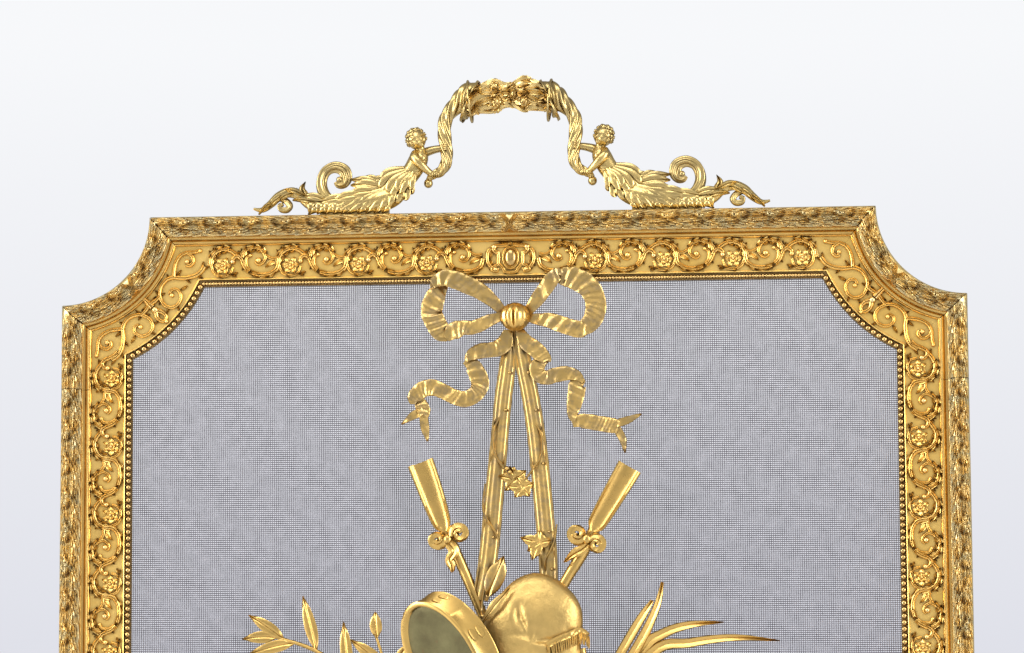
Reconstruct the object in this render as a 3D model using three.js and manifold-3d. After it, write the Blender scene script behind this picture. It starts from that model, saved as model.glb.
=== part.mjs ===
// Fireplace screen in gilt bronze: a moulded frame with scooped top corners round a woven wire
// panel, a carrying handle with two cherubs, a hanging trophy of country music, and two feet.
// Millimetres. X runs to the right seen from the front, the front faces -Y, and +Z is up.
// The origin is on the floor, midway between the feet.
import * as THREE from "three";
import { mergeVertices } from "three/addons/utils/BufferGeometryUtils.js";
import Module from "manifold-3d";

const wasm = await Module();
wasm.setup();

// Driving dimensions.
const width = 660; // across the frame
const floorGap = 48; // floor to the underside of the frame
const frameTop = 698;
const scoop = 64.5; // radius of each scooped corner
const seam = 572; // height of the joint between corner and side laurel strips
const laurelWidth = 20;
const bandWidth = 51; // laurel strip and frieze together
const gap = 0.3; // clearance between touching pieces
const meshThick = 1;
const retainerThick = 3;
const trophyX = 3; // the trophy hangs a little to the right of the middle
const footReach = 105; // from the centre line to the tip of each toe

const half = width / 2;
const mouldingBack = meshThick / 2 + gap; // distance in front of the middle of the wire panel
const retainerFront = meshThick / 2 + gap;
const retainerBack = retainerFront + retainerThick;
const tabFront = retainerBack + gap;
const tabBack = tabFront + 3;

const gilt = new THREE.MeshStandardMaterial({ color: 0xd9a441, metalness: 1, roughness: 0.35 });
const darkGilt = new THREE.MeshStandardMaterial({ color: 0xa87b32, metalness: 1, roughness: 0.5 });
const wire = new THREE.MeshStandardMaterial({ color: 0x5c554c, metalness: 1, roughness: 0.45 });
const skin = new THREE.MeshStandardMaterial({ color: 0x8f8a55, metalness: 1, roughness: 0.4 });
const steel = new THREE.MeshStandardMaterial({ color: 0x8b8a84, metalness: 1, roughness: 0.4 });

const part = new THREE.Group();

// ---------- solids ----------

// A geometry as a solid, turned right side out if its faces point inwards.
function solid(geometry) {
  const bare = geometry.index ? geometry.toNonIndexed() : geometry.clone();
  const only = new THREE.BufferGeometry().setAttribute("position", bare.getAttribute("position"));
  const merged = mergeVertices(only, 1e-3);
  const at = merged.attributes.position;
  const faces = new Uint32Array(merged.index.array);
  const [a, b, c] = [new THREE.Vector3(), new THREE.Vector3(), new THREE.Vector3()];
  let volume = 0;
  for (let i = 0; i < faces.length; i += 3) {
    a.fromBufferAttribute(at, faces[i]);
    b.fromBufferAttribute(at, faces[i + 1]);
    c.fromBufferAttribute(at, faces[i + 2]);
    volume += a.dot(b.cross(c));
  }
  if (volume < 0) {
    for (let i = 0; i < faces.length; i += 3) {
      [faces[i + 1], faces[i + 2]] = [faces[i + 2], faces[i + 1]];
    }
  }
  return new wasm.Manifold(
    new wasm.Mesh({ numProp: 3, vertProperties: at.array, triVerts: faces }),
  );
}

const joined = (...solids) => solids.reduce((whole, next) => whole.add(next));
const cut = (whole, ...tools) => tools.reduce((left, tool) => left.subtract(tool), whole);

// The biggest body of a solid, without the slivers a cut can leave.
const biggest = (shape) => shape.decompose().sort((a, b) => b.volume() - a.volume())[0];

// Adds a solid to the part as a named mesh.
function piece(name, shape, material) {
  const made = shape.getMesh();
  const geometry = new THREE.BufferGeometry();
  geometry.setAttribute("position", new THREE.BufferAttribute(made.vertProperties, 3));
  geometry.setIndex(new THREE.BufferAttribute(made.triVerts, 1));
  geometry.computeVertexNormals();
  const mesh = new THREE.Mesh(geometry, material);
  mesh.name = name;
  part.add(mesh);
}

// Adds a solid of the trophy, drawn about the trophy's own middle.
const hung = (name, shape, material) => piece(name, shape.translate([trophyX, 0, 0]), material);

// The solid on the other side of the screen's centre line.
const mirrored = (shape) => shape.mirror([1, 0, 0]);

// ---------- basic shapes ----------

const vector = (x, depth, z) => new THREE.Vector3(x, -depth, z);

// A rod along Y from one depth to another, depths counted forwards from the wire panel.
function rod(x, z, radius, fromDepth, toDepth, sides = 12) {
  const geometry = new THREE.CylinderGeometry(radius, radius, toDepth - fromDepth, sides);
  return solid(geometry.translate(x, -(fromDepth + toDepth) / 2, z));
}

function ball(x, depth, z, rx, ry, rz, sides = 12) {
  const geometry = new THREE.SphereGeometry(1, sides, Math.round(sides * 0.7));
  geometry.rotateX(Math.PI / 2);
  return solid(geometry.scale(rx, ry, rz).translate(x, -depth, z));
}

function block(x0, x1, depth0, depth1, z0, z1) {
  const geometry = new THREE.BoxGeometry(x1 - x0, depth1 - depth0, z1 - z0);
  return solid(geometry.translate((x0 + x1) / 2, -(depth0 + depth1) / 2, (z0 + z1) / 2));
}

// A flat outline in X and Z, with thickness from one depth to another.
function slab(shape, fromDepth, toDepth, curveSegments = 5) {
  const depth = toDepth - fromDepth;
  const geometry = new THREE.ExtrudeGeometry(shape, { depth, curveSegments, bevelEnabled: false });
  return solid(geometry.rotateX(Math.PI / 2).translate(0, -fromDepth, 0));
}

// A curve for sweeps whose sections face forwards, and whose size can change along its length.
class FacingCurve extends THREE.CatmullRomCurve3 {
  constructor(points, size = () => 1) {
    super(points);
    this.size = size;
  }

  computeFrenetFrames(segments) {
    const frames = { tangents: [], normals: [], binormals: [] };
    for (let i = 0; i <= segments; i++) {
      const at = i / segments;
      const along = this.getTangentAt(at);
      const side = new THREE.Vector3(along.z, 0, -along.x).normalize();
      const front = side.clone().cross(along).normalize();
      frames.tangents.push(along);
      frames.normals.push(front.multiplyScalar(this.size(at)));
      frames.binormals.push(side.multiplyScalar(this.size(at)));
    }
    return frames;
  }
}

const oval = (depthRadius, sideRadius) =>
  new THREE.Shape().absellipse(0, 0, depthRadius, sideRadius, 0, 2 * Math.PI);

// A bar of oval section along points of [x, depth, z].
function bar(points, depthRadius, sideRadius, steps = 10, size = () => 1, sides = 8) {
  const path = new FacingCurve(points.map((p) => vector(...p)), size);
  const options = { extrudePath: path, steps, curveSegments: sides / 2 };
  return solid(new THREE.ExtrudeGeometry(oval(depthRadius, sideRadius), options));
}

// A ribbon of rectangular section.
function ribbon(points, thick, wide, steps = 14, size = () => 1) {
  const section = new THREE.Shape();
  section.moveTo(-thick / 2, -wide / 2);
  section.lineTo(thick / 2, -wide / 2);
  section.lineTo(thick / 2, wide / 2);
  section.lineTo(-thick / 2, wide / 2);
  section.closePath();
  const path = new FacingCurve(points.map((p) => vector(...p)), size);
  return solid(new THREE.ExtrudeGeometry(section, { extrudePath: path, steps }));
}

// A pointed leaf lying flat, from its foot to its tip.
function leaf(x0, z0, x1, z1, wide, fromDepth, toDepth) {
  const length = Math.hypot(x1 - x0, z1 - z0);
  const shape = new THREE.Shape();
  shape.moveTo(0, 0);
  shape.quadraticCurveTo(length * 0.45, wide, length, 0);
  shape.quadraticCurveTo(length * 0.45, -wide, 0, 0);
  const geometry = new THREE.ExtrudeGeometry(shape, {
    depth: toDepth - fromDepth,
    curveSegments: 5,
    bevelEnabled: false,
  });
  geometry.rotateX(Math.PI / 2).rotateY(-Math.atan2(z1 - z0, x1 - x0));
  return solid(geometry.translate(x0, -fromDepth, z0));
}

// ---------- the frame ----------
// Each strip is a section run between two mitres. A point of the section is (inset, depth):
// inset from the outer edge towards the opening, depth forwards from the back of the moulding.

const cornerReach = (inset) => Math.sqrt(scoop * scoop + 2 * scoop * inset);

// Runs give the place in X and Z at a share of the way along, for each inset.
const topRun = (share, inset) => {
  const end = half - cornerReach(inset);
  return [THREE.MathUtils.lerp(-end, end, share), frameTop - inset];
};
const cornerRun = (share, inset) => {
  const edge = Math.asin(inset / (scoop + inset));
  const turn = THREE.MathUtils.lerp(edge, Math.PI / 2 - edge, share);
  const radius = scoop + inset;
  return [half - radius * Math.cos(turn), frameTop - radius * Math.sin(turn)];
};
const sideRun = (fromHeight, toHeight) => (share, inset) => {
  const top = fromHeight ?? frameTop - cornerReach(inset);
  const bottom = toHeight ?? floorGap + inset;
  return [half - inset, THREE.MathUtils.lerp(top, bottom, share)];
};
const bottomRun = (share, inset) => {
  const end = half - inset;
  return [THREE.MathUtils.lerp(-end, end, share), floorGap + inset];
};

// Bends a straight extrusion of a section along a run that is about `length` long.
function strip(section, run, length, steps = 1, back = mouldingBack, shortBy = gap) {
  const geometry = new THREE.ExtrudeGeometry(section, {
    depth: 1,
    steps,
    curveSegments: 4,
    bevelEnabled: false,
  });
  const at = geometry.attributes.position;
  const margin = shortBy / length;
  for (let i = 0; i < at.count; i++) {
    const share = THREE.MathUtils.lerp(margin, 1 - margin, at.getZ(i));
    const [x, z] = run(share, at.getX(i));
    at.setXYZ(i, x, -(back + at.getY(i)), z);
  }
  return solid(geometry);
}

// Laurel torus, hollow and fillet.
function laurelSection() {
  const shape = new THREE.Shape();
  const rollRadius = 6.9;
  shape.moveTo(0, 0);
  shape.lineTo(0, 9);
  shape.absarc(rollRadius, 12.2, rollRadius, Math.PI, 0, true);
  shape.lineTo(13.4, 9.4);
  shape.absarc(16.4, 9.4, 2.6, Math.PI, 1.5 * Math.PI, false);
  shape.lineTo(18, 9);
  shape.lineTo(laurelWidth - gap, 9);
  shape.lineTo(laurelWidth - gap, 0);
  shape.closePath();
  return shape;
}

// Sunk field for the scrollwork, inner fillet and half-round bead.
function friezeSection() {
  const shape = new THREE.Shape();
  const field = 6.5;
  const beadRadius = 2.2;
  shape.moveTo(laurelWidth, 0);
  shape.lineTo(laurelWidth, 8.2);
  shape.lineTo(20.8, 8);
  shape.lineTo(21.3, field);
  shape.lineTo(45.3, field);
  shape.lineTo(46.3, 7);
  shape.lineTo(46.6, 5.4);
  shape.absarc(46.6 + beadRadius, 5.4, beadRadius, Math.PI, 0, true);
  shape.lineTo(bandWidth, 4.5);
  shape.lineTo(bandWidth, 0);
  shape.closePath();
  return shape;
}

const screwInset = 33;
const frameScrews = [
  ["frame_screw_top_left", -150, frameTop - screwInset],
  ["frame_screw_top_right", 150, frameTop - screwInset],
  ["frame_screw_left", -(half - screwInset), 350],
  ["frame_screw_right", half - screwInset, 350],
  ["frame_screw_bottom_left", -150, floorGap + screwInset],
  ["frame_screw_bottom_right", 150, floorGap + screwInset],
];
const handleScrew = { x: 115, z: frameTop - 10 };
const footScrew = { x: half - bandWidth / 2, z: floorGap + 10 };
const shankRadius = 1.8;
const holeRadius = shankRadius + gap;

// A pan-head screw whose head bears on a surface `headDepth` behind the wire panel.
function screw(name, x, z, headDepth, tipDepth) {
  const shank = rod(x, z, shankRadius, -headDepth - gap - 0.5, tipDepth, 8);
  const head = rod(x, z, 3.6, -headDepth - gap - 2.4, -headDepth - gap);
  const slot = block(x - 4, x + 4, -headDepth - 3.2, -headDepth - 1.9, z - 0.5, z + 0.5);
  piece(name, cut(joined(shank, head), slot), steel);
}

const hole = (x, z, fromDepth, toDepth) => rod(x, z, holeRadius, fromDepth, toDepth, 8);

function mouldings(sectionName, section, widthOfRun) {
  const stripsOf = {
    [`${sectionName}_top`]: strip(section, topRun, 2 * (half - scoop)),
    [`${sectionName}_bottom`]: strip(section, bottomRun, width),
  };
  const corner = strip(section, cornerRun, scoop * 1.6, 8);
  stripsOf[`${sectionName}_corner_right`] = corner;
  stripsOf[`${sectionName}_corner_left`] = mirrored(corner);
  for (const [suffix, from, to] of widthOfRun) {
    const run = sideRun(from, to);
    const side = strip(section, run, 300);
    stripsOf[`${sectionName}_${suffix}_right`] = side;
    stripsOf[`${sectionName}_${suffix}_left`] = mirrored(side);
  }
  return stripsOf;
}

function makeFrame() {
  const laurel = mouldings("laurel_strip", laurelSection(), [
    ["upper_side", undefined, seam],
    ["side", seam, undefined],
  ]);
  const frieze = mouldings("frieze", friezeSection(), [["side", undefined, undefined]]);
  const holes = [
    ...frameScrews.map(([, x, z]) => hole(x, z, -2, 6.2)),
    ...[-1, 1].map((side) => hole(side * handleScrew.x, handleScrew.z, -2, 14.5)),
    ...[-1, 1].map((side) => hole(side * footScrew.x, footScrew.z, -2, 12.5)),
  ];
  for (const [name, strips] of Object.entries({ ...laurel, ...frieze })) {
    piece(name, cut(strips, ...holes), gilt);
  }
}

// Flat strips behind the wire panel that clamp it to the frieze. The top one covers both
// scooped corners.
const retainerFrom = 3;
const retainerTo = 44;

function topRetainer() {
  const [outerReach, innerReach] = [cornerReach(retainerFrom), cornerReach(retainerTo)];
  const arc = (shape, side, inset, fromSide) => {
    const edge = Math.asin(inset / (scoop + inset));
    const level = side > 0 ? Math.PI + edge : 2 * Math.PI - edge;
    const upright = 1.5 * Math.PI + (side > 0 ? -edge : edge);
    const [start, end] = fromSide ? [upright, level] : [level, upright];
    shape.absarc(side * half, frameTop, scoop + inset, start, end, end < start);
  };
  const shape = new THREE.Shape();
  shape.moveTo(retainerFrom - half, frameTop - outerReach);
  arc(shape, -1, retainerFrom, true);
  shape.lineTo(half - outerReach, frameTop - retainerFrom);
  arc(shape, 1, retainerFrom, false);
  shape.lineTo(half - retainerTo, frameTop - innerReach);
  arc(shape, 1, retainerTo, true);
  shape.lineTo(innerReach - half, frameTop - retainerTo);
  arc(shape, -1, retainerTo, false);
  shape.closePath();
  return slab(shape, -retainerBack, -retainerFront, 8);
}

function retainerSection() {
  const shape = new THREE.Shape();
  shape.moveTo(retainerFrom, 0);
  shape.lineTo(retainerTo, 0);
  shape.lineTo(retainerTo, retainerThick);
  shape.lineTo(retainerFrom, retainerThick);
  shape.closePath();
  return shape;
}

function makeRetainers() {
  const through = (x, z) => hole(x, z, -retainerBack - 1, 0);
  const holes = [
    ...frameScrews.map(([, x, z]) => through(x, z)),
    ...[-1, 1].map((side) => through(side * handleScrew.x, handleScrew.z)),
    ...[-1, 1].map((side) => through(side * footScrew.x, footScrew.z)),
  ];
  const section = retainerSection();
  const side = strip(section, sideRun(), 500, 1, -retainerBack);
  const bottom = strip(section, bottomRun, width, 1, -retainerBack);
  piece("retainer_top", cut(topRetainer(), ...holes), darkGilt);
  piece("retainer_right", cut(side, ...holes), darkGilt);
  piece("retainer_left", cut(mirrored(side), ...holes), darkGilt);
  piece("retainer_bottom", cut(bottom, ...holes), darkGilt);
}

// ---------- the wire panel ----------

const meshInset = 24;
const trophyScrews = [
  ["trophy_screw_knot", 0, 620, 13],
  ["trophy_screw_bag", 37, 398, 22],
  ["trophy_screw_tie", 0, 262, 15],
];
const trophyHole = (index) => {
  const [, x, z, tipDepth] = trophyScrews[index];
  return hole(x, z, -2, tipDepth + 0.6);
};

function makeMesh() {
  const reach = cornerReach(meshInset);
  const edge = Math.asin(meshInset / (scoop + meshInset));
  const shape = new THREE.Shape();
  shape.moveTo(-(half - meshInset), floorGap + meshInset);
  shape.lineTo(half - meshInset, floorGap + meshInset);
  shape.lineTo(half - meshInset, frameTop - reach);
  shape.absarc(half, frameTop, scoop + meshInset, 1.5 * Math.PI - edge, Math.PI + edge, true);
  shape.lineTo(-(half - reach), frameTop - meshInset);
  shape.absarc(-half, frameTop, scoop + meshInset, 2 * Math.PI - edge, 1.5 * Math.PI + edge, true);
  shape.closePath();
  const sheet = slab(shape, -meshThick / 2, meshThick / 2, 8);
  const holes = [
    ...frameScrews.map(([, x, z]) => hole(x, z, -2, 2)),
    ...trophyScrews.map(([, x, z]) => hole(x + trophyX, z, -2, 2)),
  ];
  piece("wire_mesh", cut(sheet, ...holes), wire);
}

function makeScrews() {
  for (const [name, x, z] of frameScrews) screw(name, x, z, retainerBack, 6);
  for (const [name, x, z, tip] of trophyScrews) {
    screw(name, x + trophyX, z, meshThick / 2, tip);
  }
  for (const [suffix, side] of [["left", -1], ["right", 1]]) {
    screw(`handle_screw_${suffix}`, side * handleScrew.x, handleScrew.z, tabBack, 14);
    screw(`foot_screw_${suffix}`, side * footScrew.x, footScrew.z, tabBack, 12);
  }
}

// ---------- the handle ----------

const handleDepth = 8; // middle of the handle in front of the wire panel

// Horn of plenty: a tapered horn from the cherub's hand up to its flared mouth.
function horn(grow = 0) {
  const d = handleDepth;
  const points = [
    [61, d, 722],
    [53, d, 728.5],
    [47, d, 742],
    [46.5, d, 757],
    [42.5, d, 769],
    [34.5, d, 777],
    [31, d, 778.6],
  ];
  const size = (at) => (0.62 + 0.5 * at + 1.05 * Math.max(0, at - 0.84) * 6.2) * (1 + grow);
  return bar(points, 4.6, 4.6, 18, size, 8);
}

// A cherub rising from an acanthus leaf that ends in scrolls; it holds the horn.
function figure() {
  const d = handleDepth;
  const base = frameTop + gap;
  const leafBody = new THREE.Shape();
  leafBody.moveTo(92, base);
  leafBody.lineTo(140, base);
  leafBody.quadraticCurveTo(150, base + 2, 156, base + 12);
  leafBody.quadraticCurveTo(152, base + 22, 150, base + 12);
  leafBody.quadraticCurveTo(136, base + 8, 124, base + 16);
  leafBody.quadraticCurveTo(108, base + 22, 90, base + 22);
  leafBody.quadraticCurveTo(80, base + 18, 83, base + 9);
  leafBody.closePath();
  const body = slab(leafBody, d - 6, d + 6, 4);
  const volute = bar(
    [[122, d, 706], [136, d, 708], [142.5, d, 718], [138, d, 729], [128, d, 731], [122, d, 724]],
    4, 3, 9, (at) => 0.9 + 0.5 * at, 6,
  );
  const tail = bar(
    [[148, d, 706], [158, d, 713], [167, d, 714], [176, d, 707], [189, d, 701.5]],
    3.6, 3, 6, (at) => 1.1 - 0.85 * at * at, 6,
  );
  const torso = bar(
    [[69.5, d, 743], [73, d, 734], [80, d, 724], [90, d, 715]],
    6.5, 6, 5, (at) => 0.75 + 0.7 * at, 8,
  );
  const head = ball(70.5, d + 1, 752, 8, 8, 8.4, 10);
  const upperArm = bar([[69, d - 3, 743], [58, d - 3, 745], [50, d - 2, 745]], 2.6, 2.6, 3);
  const lowerArm = bar([[71, d + 4, 740], [68, d + 6, 731], [61, d + 3, 724]], 2.8, 2.8, 3);
  const foot = block(88, 140, -tabBack, d - 5, base, base + 3.5);
  const tab = block(103, 127, -tabBack, -tabFront, frameTop - 22, base + 3);
  const screwHole = hole(handleScrew.x, handleScrew.z, -tabBack - 1, 0);
  const whole = joined(body, volute, tail, torso, head, upperArm, lowerArm, foot, tab);
  return cut(whole, screwHole, horn(0.12));
}

function makeHandle() {
  const d = handleDepth;
  const rightHorn = horn();
  const rightFigure = figure();
  piece("horn_right", rightHorn, gilt);
  piece("horn_left", mirrored(rightHorn), gilt);
  piece("cherub_right", rightFigure, gilt);
  piece("cherub_left", mirrored(rightFigure), gilt);
  const swell = (at) => 0.86 + 0.22 * Math.sin(at * Math.PI) + 0.05 * Math.sin(at * 5 * Math.PI);
  const flowers = bar([[-30, d, 779.3], [0, d, 783], [30, d, 779.3]], 11, 11, 10, swell, 10);
  const grip = cut(flowers, horn(0.1), mirrored(horn(0.1)));
  piece("flower_grip", biggest(grip), gilt);
}

// ---------- the ribbon ----------

const relief = 4.5; // middle of the ribbons and stems nearest the wire panel
const bowDepth = 20;

function makeRibbon() {
  const knot = ball(0.5, 15, 621, 10, 11, 10);
  const right = ribbon(
    [
      [9, 14, 627], [18, bowDepth, 640], [31, 26, 648.5], [46, 26, 645.5], [58, bowDepth, 635],
      [62, 16, 622], [54, 14, 611], [42, 14, 608.5], [27, 14, 615], [9, 13, 619],
    ],
    3, 10, 26,
  );
  const left = ribbon(
    [
      [-9, 14, 626], [-20, bowDepth, 639], [-33, 26, 645], [-46, 26, 650], [-58, bowDepth, 646],
      [-64, 16, 631], [-58.5, 14, 616], [-46, 14, 608.5], [-31, 14, 612], [-9, 13, 620],
    ],
    3, 10, 26,
  );
  const knotRoom = ball(0.5, 15, 621, 10.6, 11.6, 10.6);
  hung("bow_knot", cut(knot, trophyHole(0)), gilt);
  hung("bow_loop_right", cut(right, knotRoom), gilt);
  hung("bow_loop_left", cut(left, knotRoom), gilt);

  const rightTail = ribbon(
    [
      [9, 12, 605], [21, 10, 594], [18, 8, 585], [23, 8, 577], [34, 9, 580], [44, 9, 577],
      [48, 8, 568], [45, 8, 556], [46, 8, 547], [54, 8, 541.5], [68, 8, 542], [80, 8, 540],
    ],
    3, 10.5, 30,
  );
  const rightFork = joined(
    rightTail,
    leaf(76, 541, 95, 550, 4, 6.5, 9.5),
    leaf(76, 541, 81, 520, 4, 6.5, 9.5),
  );
  const leftTail = ribbon(
    [
      [-9, 12, 603], [-20, 10, 596], [-30, 9, 594], [-32, 8, 586], [-25, 8, 578], [-24, 8, 567],
      [-33, 8, 561], [-46, 8, 564.5], [-58, 9, 571], [-68, 9, 570], [-71, 8, 562], [-68, 8, 552],
    ],
    3, 10.5, 30,
  );
  const leftFork = joined(
    leftTail,
    leaf(-69, 556, -88, 544, 4, 6.5, 9.5),
    leaf(-68, 555, -63, 531, 4, 6.5, 9.5),
  );
  const strapRight = ribbon(
    [[6, relief, 608], [8.5, relief, 582], [12.5, relief, 560], [17, relief, 531],
      [21, relief, 488], [24.5, relief, 451], [25.5, relief, 433.5]],
    5, 12.5, 7,
  );
  const strapLeft = ribbon(
    [[-6.8, relief, 608], [-7.2, relief, 582], [-8.5, relief, 560], [-11, relief, 531],
      [-14.5, relief, 488], [-19, relief, 446], [-22, relief, 424]],
    5, 12.5, 7,
  );
  const room = [strapRight, strapLeft, knotRoom];
  hung("strap_left", cut(strapLeft, strapRight, block(-0.3, 5, 0, 12, 530, 615)), gilt);
  hung("strap_right", cut(strapRight, block(-5, 0.3, 0, 12, 530, 615)), gilt);
  hung("ribbon_tail_right", cut(rightFork, ...room), gilt);
  hung("ribbon_tail_left", cut(leftFork, ...room), gilt);
  const sprig = joined(
    leaf(-8, 497, 14, 507, 7, 7.4, 10),
    leaf(-7, 505, 12, 495, 6, 7.4, 10),
    leaf(-6, 500, 1, 514, 4, 7.4, 10),
  );
  hung("ivy_sprig", sprig, gilt);
}

// ---------- the trophy ----------

// Shepherd's crook: a gouge-shaped iron on a pole, with a small bow tied below it.
function crook(top, neck, bottom, depth, side) {
  const [topX, topZ] = top;
  const [neckX, neckZ] = neck;
  const along = new THREE.Vector3(neckX - topX, 0, neckZ - topZ).normalize();
  const outer = bar([[topX, depth + 3, topZ], [neckX, depth + 3, neckZ]], 5, 9.6, 3,
    (at) => 1 - 0.22 * at, 10);
  const inner = bar(
    [[topX - along.x * 2, depth + 8, topZ - along.z * 2],
      [neckX - along.x * 5, depth + 8, neckZ - along.z * 5]],
    6, 7.4, 3, (at) => 1 - 0.22 * at, 10,
  );
  const pole = bar([[neckX - along.x * 4, depth, neckZ - along.z * 4],
    [bottom[0], depth, bottom[1]]], 3, 3, 2);
  return joined(cut(outer, inner), pole);
}

// Tambourine hoop, flattened in depth as relief work is.
const hoopTilt = new THREE.Vector3(-0.75, -0.51, -0.43).normalize();

function hoopShape(radius, from, to, sides = 20) {
  const geometry = new THREE.CylinderGeometry(radius, radius, to - from, sides);
  geometry.translate(0, (from + to) / 2, 0);
  geometry.applyQuaternion(
    new THREE.Quaternion().setFromUnitVectors(new THREE.Vector3(0, 1, 0), hoopTilt),
  );
  return solid(geometry.scale(1, 0.33, 1).translate(-50, -33, 371));
}

function makeTrophy() {
  const leftCrook = crook([-69, 515], [-52.5, 471], [48, 228], relief - 0.3, -1);
  const rightCrook = crook([82.5, 510], [59.5, 467], [-86, 215], relief + 6.3, 1);
  const bow = (x0, z0, x1, z1, depth) => joined(
    ball(x0, depth, z0, 6.5, 4, 6, 8), ball(x1, depth, z1, 6.5, 4, 6, 8),
    ball((x0 + x1) / 2, depth, (z0 + z1) / 2 - 1, 4.6, 4, 4.6, 8),
  );
  const leftBow = bow(-55.5, 461.5, -41.5, 467.5, 13.5);
  const rightBow = bow(46.5, 465.5, 59.5, 456.5, 20);
  const bowRoomLeft = bar([[-69, 7.2, 515], [-40, 7.2, 444]], 5.4, 10.2, 2, () => 1, 10);
  const bowRoomRight = bar([[83, 13.8, 511], [42, 13.8, 436]], 5.4, 10.2, 2, () => 1, 10);
  hung("crook_left", leftCrook, gilt);
  hung("crook_right", rightCrook, gilt);
  hung("crook_bow_left", cut(leftBow, bowRoomLeft), gilt);
  hung("crook_bow_right", cut(rightBow, bowRoomRight), gilt);

  const hoopOuter = hoopShape(47, -26, 0);
  const hoopInner = hoopShape(43, -12, 4);
  const hoopWhole = cut(hoopOuter, hoopInner, block(-140, 60, -30, 14.2, 300, 460));
  const hoopRoom = hoopShape(47.6, -27, 30);
  const drumSkin = cut(hoopShape(42.6, -11.6, -9.5), block(-140, 60, -30, 14.2, 300, 460));
  hung("tambourine_hoop", hoopWhole, gilt);
  hung("tambourine_skin", drumSkin, skin);

  const bag = joined(
    ball(15, 22, 392, 37, 14, 40, 18),
    ball(22, 20, 352, 30, 12, 30, 16),
  );
  const fringe = bar([[24, 35, 372], [38, 33, 380], [52, 25, 388]], 3.4, 7.5, 5);
  const fringeRoom = bar([[20, 35, 370], [38, 33, 380], [57, 22.5, 391]], 4.6, 8.2, 5);
  const chanter = bar([[50, 20, 366], [58, 18, 330], [68, 16.5, 282]], 3.6, 3.6, 5,
    (at) => 0.9 + 0.45 * at, 8);
  const chanterBell = bar([[67.4, 17, 285], [70, 17, 272]], 3, 7, 2, (at) => 0.8 + 0.4 * at, 8);
  const pipe = joined(chanter, chanterBell);
  const backRoom = block(-80, 120, -10, 14.2, 280, 470);
  const bagCut = cut(bag, backRoom, hoopRoom, fringeRoom, pipe, trophyHole(1));
  hung("bagpipe_bag", bagCut, gilt);
  hung("bagpipe_fringe", cut(fringe, backRoom), gilt);
  const pipeRoom = joined(
    ball(15, 22, 392, 37.4, 14.4, 40.4, 18),
    ball(22, 20, 352, 30.4, 12.4, 30.4, 16),
  );
  hung("bagpipe_chanter", cut(pipe, pipeRoom, fringeRoom, block(-80, 120, 0, 14.2, 300, 470)), gilt);

  // Boss behind the tie, which takes the lowest screw.
  const boss = rod(0, 262, 5, 1, 21);
  const bossRoom = rod(0, 262, 5.4, 0, 24);

  // Laurel branch towards the left, with a side twig. Each leaf: share along, then its reach.
  const d = 3.6;
  const stemPath = [[-4, 261], [-45, 286], [-95, 340], [-140, 378], [-174, 391]];
  const twigPath = [[-76, 319], [-88, 350], [-101, 390]];
  const sprays = [
    [stemPath, 9, [[0.1, -8, 30], [0.24, -30, -12], [0.36, 4, 42], [0.44, -34, -10],
      [0.52, -34, 2], [0.64, -4, 38], [0.7, -32, -4], [0.78, -10, 40], [0.88, -34, -8],
      [0.94, -26, 18], [1, -23, 0]]],
    [twigPath, 4, [[0.62, 14, 28], [0.72, -26, 20], [1, -1, 18]]],
  ];
  const branch = joined(...sprays.flatMap(([path, steps, leaves]) => {
    const points = path.map(([x, z]) => [x, d, z]);
    const curve = new THREE.CatmullRomCurve3(points.map((p) => vector(...p)));
    return [
      bar(points, 1.9, 2.2, steps, (at) => 1 - 0.3 * at, 6),
      ...leaves.map(([share, across, up]) => {
        const { x, z } = curve.getPointAt(Math.min(share, 0.985));
        return leaf(x, z, x + across, z + up, 9, d - 1.4, d + 1.4);
      }),
    ];
  }));
  hung("laurel_branch", cut(branch, bossRoom), gilt);

  // Reed leaves fanning towards the right.
  const reedDepth = 9.4;
  const blades = [
    [[6, 262], [50, 330], [86, 385], [106, 426]],
    [[6, 262], [50, 322], [84, 368], [99, 413]],
    [[6, 261], [52, 318], [98, 372], [151, 398]],
    [[6, 261], [62, 322], [120, 370], [197, 383]],
    [[6, 260], [62, 300], [122, 345], [182, 352]],
    [[6, 260], [60, 284], [115, 310], [165, 308]],
  ];
  const thin = (at) => 1.15 - 0.85 * at * at;
  const reeds = joined(
    ...blades.map((points) =>
      bar(points.map(([x, z]) => [x, reedDepth, z]), 1.6, 4.2, 6, thin, 6)),
  );
  hung("reed_leaves", cut(reeds, bossRoom), gilt);

  const tie = joined(
    ball(-12, 22, 262, 10, 4.5, 7, 8), ball(12, 22, 262, 10, 4.5, 7, 8),
    ball(0, 22, 260, 6, 5.5, 6, 8),
    leaf(0, 262, -22, 232, 6, 19, 22), leaf(0, 262, 20, 230, 6, 19, 22),
  );
  const tied = joined(cut(tie, block(-60, 60, 0, 18, 200, 300)), boss);
  hung("tie_bow", cut(tied, trophyHole(2)), gilt);
}

// ---------- the feet ----------

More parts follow.
